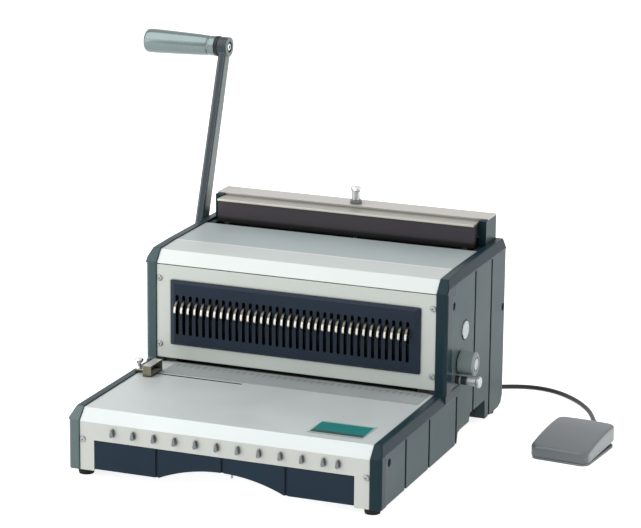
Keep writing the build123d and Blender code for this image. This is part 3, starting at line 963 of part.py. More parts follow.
def pedal():
    """Foot pedal: rubber sole, base with the switch, and a crowned treadle hinged at the front."""
    hw = PEDAL_W / 2
    hd = PEDAL_D / 2
    t = PEDAL_WALL
    sole = Box(PEDAL_W - 1, PEDAL_D - 2, SOLE_T)
    sole = fillet(sole.edges().filter_by(Axis.Z), PEDAL_CORNER)
    keep("pedal_sole", pedal_place(Pos(0, 0, SOLE_T / 2) * sole))
    base_top = SOLE_T + 2
    inner_w = PEDAL_W - 2 * t - 2 * PEDAL_GAP
    inner_d = PEDAL_D - 2 * t - 2 * PEDAL_GAP
    base = Pos(0, 0, SOLE_T + 1) * Box(inner_w, inner_d, 2)
    base = fillet(base.edges().filter_by(Axis.Z), PEDAL_CORNER - t - PEDAL_GAP)
    ear_w = 4.0
    lug_w = 3.0
    ear_u = inner_w / 2 - 4
    for s in (-1, 1):
        u = s * ear_u
        base += box(u - ear_w / 2, u + ear_w / 2, PEDAL_PIN_V - 4, PEDAL_PIN_V + 4,
                    base_top - 1, PEDAL_PIN_Z + 3)
    pin_half = ear_u + ear_w / 2
    base += rod_x(-pin_half, pin_half, PEDAL_PIN_V, PEDAL_PIN_Z, PEDAL_PIN_R)
    base += box(-12, 12, -10, 4, base_top - 1, base_top + 1)
    base -= box(-GLAND_R - GAP, GLAND_R + GAP, hd - 6 - GAP, hd, SOLE_T - 1, base_top + 1)
    keep("pedal_base", pedal_place(base))
    skirt_z0 = SOLE_T + PEDAL_GAP
    skirt_z1 = skirt_z0 + PEDAL_SKIRT_RISE
    mid_z = (PEDAL_FRONT_Z + PEDAL_REAR_Z) / 2 + PEDAL_CROWN
    line = Polyline((hd - 4, PEDAL_REAR_Z), (hd, PEDAL_REAR_Z - 4), (hd, skirt_z1), (-hd, skirt_z0),
                    (-hd, PEDAL_FRONT_Z - 3), (-hd + 3, PEDAL_FRONT_Z))
    line += ThreePointArc((-hd + 3, PEDAL_FRONT_Z), (0, mid_z), (hd - 4, PEDAL_REAR_Z))
    shell = Pos(-hw, 0, 0) * extrude(Plane.YZ * make_face(line), amount=PEDAL_W)
    shell = fillet(shell.edges().filter_by(Axis.Z), PEDAL_CORNER - 1)
    front_z = PEDAL_FRONT_Z - t - 2
    rear_z = PEDAL_REAR_Z - t - 3
    line = Polyline((hd - t, rear_z), (hd - t, 0), (-hd + t, 0), (-hd + t, front_z))
    line += ThreePointArc((-hd + t, front_z), (0, mid_z - t), (hd - t, rear_z))
    inside = Pos(-hw + t, 0, 0) * extrude(Plane.YZ * make_face(line), amount=PEDAL_W - 2 * t)
    inside = fillet(inside.edges().filter_by(Axis.Z), PEDAL_CORNER - 1 - t)
    shell -= inside
    lug_u = ear_u - ear_w / 2 - lug_w / 2 - GAP
    for s in (-1, 1):
        u = s * lug_u
        shell += box(u - lug_w / 2, u + lug_w / 2, PEDAL_PIN_V - 3.5, PEDAL_PIN_V + 3.5,
                     PEDAL_PIN_Z - 2.4, PEDAL_FRONT_Z - 0.5)
    shell -= rod_x(-hw + t, hw - t, PEDAL_PIN_V, PEDAL_PIN_Z, PEDAL_PIN_R + RUN)
    body_top = base_top + 7
    switch_v = -5.0
    press = tan(radians(PEDAL_DROP)) * (switch_v - PEDAL_PIN_V)
    shell += box(-3, 3, switch_v - 2, switch_v + 2, body_top + press + 0.2, mid_z - 1)
    drop = tan(radians(PEDAL_DROP)) * (hd - PEDAL_PIN_V)
    notch_r = GLAND_R + 0.5
    notch_z = PEDAL_EXIT_Z + drop
    shell -= rod_y(hd - t - 3, hd + 1, 0, notch_z, notch_r)
    shell -= box(-notch_r, notch_r, hd - t - 3, hd + 1, 0, notch_z)
    keep("pedal_treadle", pedal_place(shell))
    switch = box(-10, 10, switch_v - 4, switch_v + 4, base_top + 1, body_top - 1)
    switch += box(-2, 2, switch_v - 1.5, switch_v + 1.5, body_top - 1, body_top)
    keep("pedal_switch", pedal_place(switch))
    gland = rod_y(hd - 6, hd + 3, 0, PEDAL_EXIT_Z, GLAND_R)
    gland += Pos(0, hd + 9, PEDAL_EXIT_Z) * Rot(-90, 0, 0) * Cone(GLAND_R, CORD_R + 0.8, 12)
    gland += box(-6, 6, hd - 6, hd - 3.6, base_top, PEDAL_EXIT_Z + GLAND_R)
    keep("pedal_gland", pedal_place(gland))


def pedal_cord():
    """Cord from the pedal's gland to its plug in the rear socket, with the spare coiled."""
    a = radians(PEDAL_YAW)
    back = PEDAL_D / 2 + 15
    exit_x = PEDAL_X - back * sin(a)
    exit_y = PEDAL_Y + back * cos(a)
    exit_z = PEDAL_EXIT_Z
    away = (-sin(a), cos(a))
    r = CORD_R
    plug_y1 = REAR_Y + 36
    coil_top_y = COIL_Y + COIL_R + 2 * r
    coil_low_y = COIL_Y - COIL_R - 2 * r
    to_pedal = [(COIL_X + GAP, coil_low_y, r), (COIL_X + 42, coil_low_y + 0.8, r),
                (COIL_X + 92, coil_low_y + 8, r), (112, 465, r), (154, 501, r), (194, 517.5, r),
                (229, 511, r), (262, 486, r), (286, 456, r), (299, 430, r), (308, 409, r),
                (exit_x + away[0] * 26, exit_y + away[1] * 26, r + 0.6),
                (exit_x + away[0] * 12, exit_y + away[1] * 12, exit_z), (exit_x, exit_y, exit_z)]
    to_plug = [(SOCKET_X, plug_y1, SOCKET_Z), (SOCKET_X, plug_y1 + 16, SOCKET_Z),
               (SOCKET_X - 6, plug_y1 + 32, SOCKET_Z - 13), (SOCKET_X - 20, plug_y1 + 44, 9),
               (SOCKET_X - 42, coil_top_y + 2.5, r + 0.4), (COIL_X + GAP, coil_top_y, r)]
    tubes = []
    length = 0
    for name, route in (("to_pedal", to_pedal), ("to_plug", to_plug)):
        vectors = [Vector(*p) for p in route]
        radii = []
        for p, q, s in zip(vectors, vectors[1:], vectors[2:]):
            turn = radians((q - p).get_angle(s - q))
            radii.append(0.45 * min((q - p).length, (s - q).length) / tan(turn / 2))
        runs = [(q - p).length for p, q in zip(vectors, vectors[1:])]
        path = FilletPolyline(*route, radius=radii)
        profile = Plane(path @ 0, z_dir=path % 0) * Circle(r)
        tube = sweep(profile, path=path)
        tubes.append(tube)
        length += path.length
        print(name, "length", round(path.length, 1), "radii", [round(v) for v in radii],
              "runs", [round(v) for v in runs], "volume", round(tube.volume),
              "section x length", round(pi * r * r * path.length))
    keep("pedal_cord", *tubes)
    coil_length = CORD_LENGTH - length
    turns = coil_length / (2 * pi * COIL_R)
    print("cord", CORD_LENGTH, "coil", round(coil_length), "turns", round(turns, 2))
    half = 3 * r
    coil = rod_z(0, 4 * r, COIL_X, COIL_Y, COIL_R + half)
    coil -= rod_z(-1, 4 * r + 1, COIL_X, COIL_Y, COIL_R - half)
    for y0, y1 in ((COIL_Y - 60, coil_low_y + r + 1.2), (coil_top_y - r - GAP, COIL_Y + 60)):
        coil -= box(COIL_X, COIL_X + 60, y0, y1, -1, 2 * r + 2 * GAP)
    keep("pedal_cord_coil", coil)
    plug = rod_y(REAR_Y - 9, REAR_Y + 2, SOCKET_X, SOCKET_Z, 4.9)
    plug += rod_y(REAR_Y + 2, REAR_Y + 22, SOCKET_X, SOCKET_Z, 7.5)
    plug += Pos(SOCKET_X, REAR_Y + 29, SOCKET_Z) * Rot(-90, 0, 0) * Cone(6, CORD_R + 0.8, 14)
    keep("pedal_plug", plug)


CORD_NODES = ("pedal_cord", "pedal_cord_coil", "pedal_plug")

side_plates()
side_covers()
front_sheets()
cover_screws()
wire_pegs()
comb_and_hooks()
height_dial()
depth_stop()
punch_unit()
drawer()
chassis()
electrics()
lever()
closer()
edge_guide()
pedal()
pedal_cord()

# The origin is the bottom centre of the box round all but the cord.
solid_parts = [s for n, p in parts.items() if n not in CORD_NODES for s in p.solids()]
whole = Compound(children=solid_parts).bounding_box()
ORIGIN = (whole.center().X, whole.center().Y, whole.min.Z)
print("origin in build axes", [round(v, 4) for v in ORIGIN], "size", whole.size)

os.makedirs("parts", exist_ok=True)
for name, shape in parts.items():
    export_step(Pos(-ORIGIN[0], -ORIGIN[1], -ORIGIN[2]) * shape, "parts/" + name + ".step")
print(len(parts), "nodes")
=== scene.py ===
"""Finish of a desktop wire binding machine, dressed around its packed construction.

Metres throughout.  mm(x, y, z) gives a place on the machine: x right from midway
between its side covers, y back from the base's front face, z up from the table.
"""
import json
import math

import bmesh
import bpy
from mathutils import Matrix, Vector


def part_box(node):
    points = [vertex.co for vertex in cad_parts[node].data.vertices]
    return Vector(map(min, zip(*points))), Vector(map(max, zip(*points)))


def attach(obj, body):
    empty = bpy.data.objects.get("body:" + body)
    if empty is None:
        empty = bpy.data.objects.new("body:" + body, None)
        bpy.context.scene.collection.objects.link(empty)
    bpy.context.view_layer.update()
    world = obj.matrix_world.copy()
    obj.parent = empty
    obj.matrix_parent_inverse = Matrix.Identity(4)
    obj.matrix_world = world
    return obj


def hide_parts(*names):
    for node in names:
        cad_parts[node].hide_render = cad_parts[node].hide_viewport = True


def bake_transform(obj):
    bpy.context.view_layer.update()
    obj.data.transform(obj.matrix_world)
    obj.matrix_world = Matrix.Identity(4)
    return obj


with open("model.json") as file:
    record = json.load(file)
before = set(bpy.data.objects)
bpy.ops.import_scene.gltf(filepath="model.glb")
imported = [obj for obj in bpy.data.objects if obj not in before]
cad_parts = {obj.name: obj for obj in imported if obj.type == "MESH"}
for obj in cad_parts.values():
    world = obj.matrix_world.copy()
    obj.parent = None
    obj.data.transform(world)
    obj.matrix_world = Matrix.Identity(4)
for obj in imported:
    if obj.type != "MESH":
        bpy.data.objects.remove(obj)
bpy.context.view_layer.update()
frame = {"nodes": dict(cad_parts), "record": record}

# ------------------------------------------------------------------ places
DECK_LOW, DECK_HIGH = (Vector(corner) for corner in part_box("front_deck"))
MACHINE = Vector(((DECK_LOW.x + DECK_HIGH.x) / 2, DECK_LOW.y, 0.0))


def mm(x, y, z):
    """A place on the machine, given in millimetres."""
    return MACHINE + Vector((x, y, z)) / 1000


def low(node):
    return Vector(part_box(node)[0])


def high(node):
    return Vector(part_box(node)[1])


def add_object(name, data):
    """An object of the data, placed in the scene."""
    obj = bpy.data.objects.new(name, data)
    bpy.context.scene.collection.objects.link(obj)
    return obj


# ------------------------------------------------------------------ camera
FRAME_WIDTH_PX = 641
FOCAL_PX = 2956.5
CAMERA_AT = (1232.4, -2846.5, 1091.8)
CAMERA_AZIMUTH = math.radians(21.44)
CAMERA_ELEVATION = math.radians(14.90)
CAMERA_ROLL = math.radians(0.57)


def add_camera():
    az, el, roll = CAMERA_AZIMUTH, CAMERA_ELEVATION, CAMERA_ROLL
    forward = Vector((-math.sin(az) * math.cos(el), math.cos(az) * math.cos(el), -math.sin(el)))
    level = Vector((math.cos(az), math.sin(az), 0.0))
    upright = level.cross(forward)
    right = level * math.cos(roll) + upright * math.sin(roll)
    up = right.cross(forward)
    data = bpy.data.cameras.new("camera")
    data.sensor_width = 36.0
    data.lens = FOCAL_PX / FRAME_WIDTH_PX * data.sensor_width
    data.clip_end = 50.0
    camera = add_object("camera", data)
    turn = Matrix((right, up, -forward)).transposed()
    camera.matrix_world = Matrix.Translation(mm(*CAMERA_AT)) @ turn.to_4x4()
    bpy.context.scene.camera = camera


add_camera()

# ------------------------------------------------------------------ pedal cord
CORD_DIAMETER = 0.0055
CORD_R = CORD_DIAMETER * 500          # millimetres
COIL_MIDDLE = (-30.0, 474.0)
COIL_R = 33.0
COIL_TURNS = 4.5
COIL_LOWER_TURNS = 2                  # turns that lie on the table
COIL_CLIMB_TURNS = 0.5                # part of a turn in which the cord climbs on them
COIL_POINTS = 16                      # points to the turn
GLAND_END = (318.8, 361.8, 8.0)
PLUG_END = (50.0, 457.0, 32.0)
ROUTE_FROM_PEDAL = (
    GLAND_END, (319.9, 373.7, 8.0), (321.1, 387.7, 3.35), (308, 409, 2.75), (299, 430, 2.75),
    (286, 456, 2.75), (262, 486, 2.75), (229, 511, 2.75), (194, 517.5, 2.75), (154, 501, 2.75),
    (112, 465, 2.75), (62, 443.5, 2.75), (12, 436.3, 2.75))
ROUTE_TO_PLUG = (
    (8, 515, 3.15), (30, 501, 9), (44, 489, 19), (50, 473, 32), PLUG_END)


def coil_points():
    """Spare cord in a 3 by 2 bundle: turns inwards along the table, then outwards on top."""
    cx, cy = COIL_MIDDLE
    step = 2 * CORD_R
    points = []
    for k in range(int(COIL_TURNS * COIL_POINTS) + 1):
        turn = k / COIL_POINTS
        angle = -math.pi / 2 - 2 * math.pi * turn
        radius = COIL_R + step * max(1 - turn, -1)
        height = CORD_R
        if turn > COIL_LOWER_TURNS:
            above = turn - COIL_LOWER_TURNS
            radius = COIL_R + step * (max(above - COIL_CLIMB_TURNS, 0) - 1)
            height += step * min(1.0, above / COIL_CLIMB_TURNS)
        points.append((cx + radius * math.cos(angle), cy + radius * math.sin(angle), height))
    return points


def route_curve(name, points, radius):
    """A smooth line whose control points are the route's.

    A curve's box grows by the radius of its points, so they hold the thickness and the bevel is 1.
    """
    data = bpy.data.curves.new(name, "CURVE")
    data.dimensions = "3D"
    data.bevel_depth = 1.0
    data.bevel_resolution = 6
    data.resolution_u = 8
    data.use_fill_caps = True
    spline = data.splines.new("NURBS")
    spline.points.add(len(points) - 1)
    for point, place in zip(spline.points, points):
        point.co = (*mm(*place), 1.0)
        point.radius = radius
    spline.order_u = 3
    spline.use_endpoint_u = True
    return add_object(name, data)


def add_cord():
    points = [*ROUTE_FROM_PEDAL, *coil_points(), *ROUTE_TO_PLUG]
    cord = route_curve("pedal_lead", points, CORD_DIAMETER / 2)
    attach(cord, "frame")
    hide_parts("pedal_cord", "pedal_cord_coil")
    return cord


pedal_lead = add_cord()


# ------------------------------------------------------------------ shader groups
def srgb(code):
    """Linear colour of a six-digit display colour."""
    values = [int(code[i:i + 2], 16) / 255 for i in (0, 2, 4)]
    return tuple(v / 12.92 if v <= 0.04045 else ((v + 0.055) / 1.055) ** 2.4 for v in values) + (1.0,)


def new_group(name, inputs, outputs):
    """Empty node group with (name, socket type, default) inputs and (name, type) outputs."""
    group = bpy.data.node_groups.new(name, "ShaderNodeTree")
    for label, kind, default in inputs:
        socket = group.interface.new_socket(label, in_out="INPUT", socket_type=kind)
        if default is not None:
            socket.default_value = default
    for label, kind in outputs:
        group.interface.new_socket(label, in_out="OUTPUT", socket_type=kind)
    return group, group.nodes.new("NodeGroupInput"), group.nodes.new("NodeGroupOutput")


def add_node(tree, kind, values=None, **settings):
    """A node with its settings and the default values of its inputs."""
    node = tree.nodes.new("ShaderNode" + kind)
    for key, value in settings.items():
        setattr(node, key, value)
    for key, value in (values or {}).items():
        node.inputs[key].default_value = value
    return node


def math_node(tree, operation, first, second=None, clamp=False):
    node = add_node(tree, "Math", operation=operation, use_clamp=clamp)
    for socket, value in zip(node.inputs, (first, second)):
        if value is None:
            continue
        if isinstance(value, (int, float)):
            socket.default_value = value
        else:
            tree.links.new(value, socket)
    return node.outputs[0]


FLOAT, VECTOR = "NodeSocketFloat", "NodeSocketVector"
SHADE_SAMPLES = 6                   # of the bevel and the occlusion nodes
EDGE_GAIN = 9.0                     # how fast the edge mask grows as the normal turns
OPEN_SHADE = 0.85                   # occlusion from which a surface counts as open
SQUARE_ON = 0.85                    # part of a normal along an axis that counts as facing it
UPRIGHT_BELOW = 0.5                 # vertical part of a normal below which a face is upright
FRONT_BELOW = -0.6                  # y part of a normal below which a face looks to the front
FOOT_BLUR = 8.0                     # the higher, the sharper the foot's upper edge
WIRE_PITCH = 0.0084667              # metres from one loop of wire to the next
TICK_SHARE = 0.09                   # a stroke's width, as a share of the pitch
TICK_START = 0.72                   # where the strokes start, as a share of the strip's depth
NOISE_ROUGHNESS = 0.55


def split_coordinate(tree, kind):
    """The x, y and z of one of the piece's own coordinates."""
    where = add_node(tree, "TexCoord")
    split = add_node(tree, "SeparateXYZ")
    tree.links.new(where.outputs[kind], split.inputs[0])
    return split


def soft_edges_group():
    """Rounds sharp edges in shading and gives a mask that is 1 on them."""
    tree, given, made = new_group("soft_edges", [("Radius", FLOAT, 0.0006)],
                                  [("Normal", VECTOR), ("Edge", FLOAT)])
    bevel = add_node(tree, "Bevel", samples=SHADE_SAMPLES)
    tree.links.new(given.outputs["Radius"], bevel.inputs["Radius"])
    plain = add_node(tree, "NewGeometry")
    dot = add_node(tree, "VectorMath", operation="DOT_PRODUCT")
    tree.links.new(bevel.outputs[0], dot.inputs[0])
    tree.links.new(plain.outputs["Normal"], dot.inputs[1])
    away = math_node(tree, "SUBTRACT", 1.0, dot.outputs["Value"])
    edge = math_node(tree, "MULTIPLY", away, EDGE_GAIN, clamp=True)
    tree.links.new(bevel.outputs[0], made.inputs["Normal"])
    tree.links.new(edge, made.inputs["Edge"])
    return tree


def hollow_shade_group():
    """Mask that is 1 in grooves, slots and seams, where the finishes paint shade."""
    tree, given, made = new_group("hollows", [("Reach", FLOAT, 0.006), ("Deep", FLOAT, 0.25)],
                                  [("Hollow", FLOAT)])
    shade = add_node(tree, "AmbientOcclusion", samples=SHADE_SAMPLES)
    tree.links.new(given.outputs["Reach"], shade.inputs["Distance"])
    remap = add_node(tree, "MapRange", {"From Max": OPEN_SHADE, "To Min": 1.0, "To Max": 0.0})
    tree.links.new(given.outputs["Deep"], remap.inputs["From Min"])
    tree.links.new(shade.outputs["AO"], remap.inputs["Value"])
    tree.links.new(remap.outputs["Result"], made.inputs["Hollow"])
    return tree


def facing_group():
    """Masks of the faces that look along the piece's own x, y and z, either way, which the finishes use to
    paint lit and shaded sides.
    """
    tree, _, made = new_group("facing", [], [("X", FLOAT), ("Y", FLOAT), ("Z", FLOAT)])
    split = split_coordinate(tree, "Normal")
    for label in "XYZ":
        size = math_node(tree, "ABSOLUTE", split.outputs[label])
        tree.links.new(math_node(tree, "GREATER_THAN", size, SQUARE_ON), made.inputs[label])
    return tree


def slot_wall_shade_group():
    """Mask of the upright faces in the rear half of a piece, such as the walls of a slot, for painted shade.
    """
    tree, given, made = new_group("slot_walls", [("Front", FLOAT, 0.5)], [("Wall", FLOAT)])
    place, facing = split_coordinate(tree, "Generated"), split_coordinate(tree, "Normal")
    behind = math_node(tree, "GREATER_THAN", place.outputs["Y"], given.outputs["Front"])
    slope = math_node(tree, "ABSOLUTE", facing.outputs["Z"])
    upright = math_node(tree, "LESS_THAN", slope, UPRIGHT_BELOW)
    tree.links.new(math_node(tree, "MULTIPLY", behind, upright), made.inputs["Wall"])
    return tree


def fold_light_group():
    """A thin line across a sheet at the share Place of its depth, and a mask of what lies behind it, for a
    painted highlight along a fold and painted shade behind it.
    """
    tree, given, made = new_group("fold", [("Place", FLOAT, 0.5), ("Half", FLOAT, 0.01)],
                                  [("Line", FLOAT), ("Behind", FLOAT)])
    place = split_coordinate(tree, "Generated")
    off = math_node(tree, "SUBTRACT", place.outputs["Y"], given.outputs["Place"])
    far = math_node(tree, "DIVIDE", math_node(tree, "ABSOLUTE", off), given.outputs["Half"])
    tree.links.new(math_node(tree, "SUBTRACT", 1.0, far, clamp=True), made.inputs["Line"])
    tree.links.new(math_node(tree, "GREATER_THAN", off, 0.0), made.inputs["Behind"])
    return tree


def foot_group():
    """Mask of the lower part of a piece, up to the share Height, with a soft upper edge."""
    tree, given, made = new_group("foot", [("Height", FLOAT, 0.25)], [("Foot", FLOAT)])
    place = split_coordinate(tree, "Generated")
    above = math_node(tree, "SUBTRACT", place.outputs["Z"], given.outputs["Height"])
    above = math_node(tree, "MULTIPLY", above, FOOT_BLUR)
    tree.links.new(math_node(tree, "SUBTRACT", 0.5, above, clamp=True), made.inputs["Foot"])
    return tree


def lit_left_front_group():
    """Mask of the faces to the front in the left Share of a piece's width and under Below of its height,
    where a painted reflection goes.
    """
    tree, given, made = new_group("outer_front", [("Share", FLOAT, 0.1), ("Below", FLOAT, 2.0)],
                                  [("Mask", FLOAT)])
    place, facing = split_coordinate(tree, "Generated"), split_coordinate(tree, "Normal")
    left = math_node(tree, "LESS_THAN", place.outputs["X"], given.outputs["Share"])
    front = math_node(tree, "LESS_THAN", facing.outputs["Y"], FRONT_BELOW)
    under = math_node(tree, "LESS_THAN", place.outputs["Z"], given.outputs["Below"])
    outer = math_node(tree, "MULTIPLY", left, front)
    tree.links.new(math_node(tree, "MULTIPLY", outer, under), made.inputs["Mask"])
    return tree


def ticks_group():
    """Short upright strokes along x, one a loop of wire apart, on the strip's rear edge."""
    tree, given, made = new_group("ticks", [("Pitch", FLOAT, WIRE_PITCH)], [("Stroke", FLOAT)])
    along, across = split_coordinate(tree, "Object"), split_coordinate(tree, "Generated")
    place = math_node(tree, "DIVIDE", along.outputs["X"], given.outputs["Pitch"])
    thin = math_node(tree, "LESS_THAN", math_node(tree, "FRACT", place), TICK_SHARE)
    rear = math_node(tree, "GREATER_THAN", across.outputs["Y"], TICK_START)
    tree.links.new(math_node(tree, "MULTIPLY", thin, rear), made.inputs["Stroke"])
    return tree


def border_group():
    """Masks of a flat plate: a frame along its edges, and a strip along its front."""
    tree, given, made = new_group("border", [("X", FLOAT, 0.03), ("Y", FLOAT, 0.07), ("Foot", FLOAT, 0.24)],
                                  [("Frame", FLOAT), ("Strip", FLOAT)])
    split = split_coordinate(tree, "Generated")
    masks = []
    for label in "XY":
        off = math_node(tree, "ABSOLUTE", math_node(tree, "SUBTRACT", split.outputs[label], 0.5))
        limit = math_node(tree, "SUBTRACT", 0.5, given.outputs[label])
        masks.append(math_node(tree, "GREATER_THAN", off, limit))
    tree.links.new(math_node(tree, "MAXIMUM", *masks), made.inputs["Frame"])
    strip = math_node(tree, "LESS_THAN", split.outputs["Y"], given.outputs["Foot"])
    tree.links.new(strip, made.inputs["Strip"])
    return tree


def mottle_group():
    """Broad, faint unevenness of a surface, 0.5 on the whole, and a fine speck."""
    tree, given, made = new_group("mottle", [("Broad", FLOAT, 14.0), ("Fine", FLOAT, 900.0)],
                                  [("Cloud", FLOAT), ("Speck", FLOAT)])
    where = add_node(tree, "TexCoord")
    for label, output, detail in (("Broad", "Cloud", 3.0), ("Fine", "Speck", 2.0)):
        noise = add_node(tree, "TexNoise", {"Detail": detail, "Roughness": NOISE_ROUGHNESS})
        tree.links.new(where.outputs["Object"], noise.inputs["Vector"])
        tree.links.new(given.outputs[label], noise.inputs["Scale"])
        tree.links.new(noise.outputs["Fac"], made.inputs[output])
    return tree


def grain_group():
    """Long fine scratches of brushing; Stretch gives how tight they lie along x, y and z."""
    tree, given, made = new_group("grain", [("Stretch", VECTOR, (6.0, 900.0, 900.0))], [("Line", FLOAT)])
    where = add_node(tree, "TexCoord")
    spread = add_node(tree, "VectorMath", operation="MULTIPLY")
    tree.links.new(where.outputs["Object"], spread.inputs[0])
    tree.links.new(given.outputs["Stretch"], spread.inputs[1])
    noise = add_node(tree, "TexNoise", {"Scale": 1.0, "Detail": 4.0, "Roughness": 0.65})
    tree.links.new(spread.outputs[0], noise.inputs["Vector"])
    tree.links.new(noise.outputs["Fac"], made.inputs["Line"])
    return tree


SOFT_EDGES = soft_edges_group()
MOTTLE = mottle_group()
GRAIN = grain_group()
HOLLOW_SHADE_MASK = hollow_shade_group()
FACING = facing_group()
SLOT_WALL_SHADE = slot_wall_shade_group()
FOLD_LIGHT = fold_light_group()
LIT_LEFT_FRONT = lit_left_front_group()
FOOT = foot_group()
TICKS = ticks_group()
BORDER = border_group()


def use_group(tree, group, **values):
    node = tree.nodes.new("ShaderNodeGroup")
    node.node_tree = group
    for key, value in values.items():
        node.inputs[key].default_value = value
    return node


def start_material(name, **values):
    """Material with a Principled shader whose constant values are set on its sockets."""
    material = bpy.data.materials.new(name)
    material.use_nodes = True
    tree = material.node_tree
    shader = tree.nodes["Principled BSDF"]
    for key, value in values.items():
        shader.inputs[key.replace("_", " ")].default_value = value
    return material, tree, shader


def blend_colour(tree, factor, first, second):
    """Mix of two colours, each a socket or a constant, by a factor that is a socket."""
    mix = add_node(tree, "Mix", data_type="RGBA", blend_type="MIX")
    mix.clamp_factor = True
    colours = [s for s in mix.inputs if s.type == "RGBA"]
    for socket, value in zip(colours, (first, second)):
        if isinstance(value, tuple):
            socket.default_value = value
        else:
            tree.links.new(value, socket)
    tree.links.new(factor, mix.inputs["Factor"])
    return next(s for s in mix.outputs if s.type == "RGBA")


def spread_value(tree, source, lowest, highest, start=0.3, stop=0.7):
    """The source's range from start to stop, remapped to lowest..highest."""
    remap = add_node(tree, "MapRange",
                     {"From Min": start, "From Max": stop, "To Min": lowest, "To Max": highest})
    tree.links.new(source, remap.inputs["Value"])
    return remap.outputs["Result"]


COAT_ROUGHNESS = 0.15
ROUGHNESS_DRIFT = 0.1               # share by which the roughness drifts either way
HOLLOW_SHADE = 0.12                 # share of the colour that is left where shade is painted into grooves, slots and seams


def scaled(colour, factor):
    """The colour made darker or lighter by the factor."""
    return tuple(min(1.0, c * factor) for c in colour[:3]) + (1.0,)


def finish_surface(name, colour, worn_and_highlight, roughness, *, metallic=0.0, speck=900.0, relief=0.05,
                   relief_depth=0.00006, cloud=0.08, edge_radius=0.0006, edge_wear_and_highlight=0.35, coat=0.0, specular=0.5,
                   brushed=None, painted_hollow_shade=0.5, hollow_reach=0.006, deep=0.25, marks=()):
    """A coated or bare hard surface: cloudy tone, fine relief, edges scuffed to a lighter colour that is
    partly a painted edge highlight, and painted shade in grooves and seams.

    marks holds (group, output, colour), and perhaps the group's inputs, for places of another colour, most
    of them painted light or shade.
    """
    material, tree, shader = start_material(name, Metallic=metallic, Coat_Weight=coat,
                                            Coat_Roughness=COAT_ROUGHNESS, Specular_IOR_Level=specular)
    edges = use_group(tree, SOFT_EDGES, Radius=edge_radius)
    mottle = use_group(tree, MOTTLE, Fine=speck)
    tone = spread_value(tree, mottle.outputs["Cloud"], 0.0, 1.0)
    base = blend_colour(tree, tone, scaled(colour, 1 - cloud), scaled(colour, 1 + cloud))
    patchy = spread_value(tree, mottle.outputs["Speck"], 0.4, 1.0)
    # edges take the lighter edge colour: scuffing, and at high shares a painted edge highlight
    rubbed_and_lit = math_node(tree, "MULTIPLY", edges.outputs["Edge"], patchy)
    rubbed_and_lit = math_node(tree, "MULTIPLY", rubbed_and_lit, edge_wear_and_highlight, clamp=True)
    base = blend_colour(tree, rubbed_and_lit, base, worn_and_highlight)
    for group, output, mark_colour, *inputs in marks:
        mask = use_group(tree, group, **(inputs[0] if inputs else {})).outputs[output]
        base = blend_colour(tree, mask, base, mark_colour)
    # painted shade: grooves, slots and seams darkened by occlusion
    if painted_hollow_shade:
        depth = use_group(tree, HOLLOW_SHADE_MASK, Reach=hollow_reach, Deep=deep).outputs["Hollow"]
        base = blend_colour(tree, math_node(tree, "MULTIPLY", depth, painted_hollow_shade), base,
                            scaled(colour, HOLLOW_SHADE))
    tree.links.new(base, shader.inputs["Base Color"])
    drift = spread_value(tree, mottle.outputs["Cloud"], roughness * (1 - ROUGHNESS_DRIFT),
                         roughness * (1 + ROUGHNESS_DRIFT))
    tree.links.new(drift, shader.inputs["Roughness"])
    height = mottle.outputs["Speck"]
    if brushed:
        height = use_group(tree, GRAIN, Stretch=brushed).outputs["Line"]
    bump = add_node(tree, "Bump", {"Strength": relief, "Distance": relief_depth})
    tree.links.new(height, bump.inputs["Height"])
    tree.links.new(edges.outputs["Normal"], bump.inputs["Normal"])
    tree.links.new(bump.outputs[0], shader.inputs["Normal"])
    return material


# ------------------------------------------------------------------ finishes
NAVY = srgb("17313a")
BARE = srgb("8d9698")
HOOK_SIDE_SHADE = srgb("2a211c")
# black that stands in for shade in slots
SHADE_BLACK = srgb("07090a")
# near-white edge colour of the sheets, partly a painted edge highlight
SHEET_WORN_AND_LIT_EDGE = srgb("f0f1f0")
FOLD_Y = 264.5                      # fold of the tower's top sheet
SHEET_LOOK = {"worn_and_highlight": SHEET_WORN_AND_LIT_EDGE, "roughness": 0.48, "metallic": 0.30, "relief": 0.12, "cloud": 0.02,
              "edge_wear_and_highlight": 0.3, "edge_radius": 0.0008, "painted_hollow_shade": 0.97, "hollow_reach": 0.004, "deep": 0.48}
silver_sheet = finish_surface("silver_sheet", srgb("cacfc9"), **SHEET_LOOK)
# painted shade: front faces a little darker and warmer, and slot walls black
deck_sheet = finish_surface("deck_sheet", srgb("cfd6d5"), **SHEET_LOOK,
                            marks=((FACING, "Y", srgb("c8cbc5")), (SLOT_WALL_SHADE, "Wall", SHADE_BLACK)))
COVER_LOW, COVER_HIGH = low("tower_top_cover"), high("tower_top_cover")
FOLD_AT = {"Place": (mm(0, FOLD_Y, 0).y - COVER_LOW.y) / (COVER_HIGH.y - COVER_LOW.y), "Half": 0.015}
# painted light: a highlight along the fold, and shade on the sheet behind it
cover_sheet = finish_surface("cover_sheet", srgb("cdd3d1"), **SHEET_LOOK,
                             marks=((FOLD_LIGHT, "Behind", srgb("b0bbbb"), FOLD_AT),
                                    (FOLD_LIGHT, "Line", srgb("e8eceb"), FOLD_AT)))
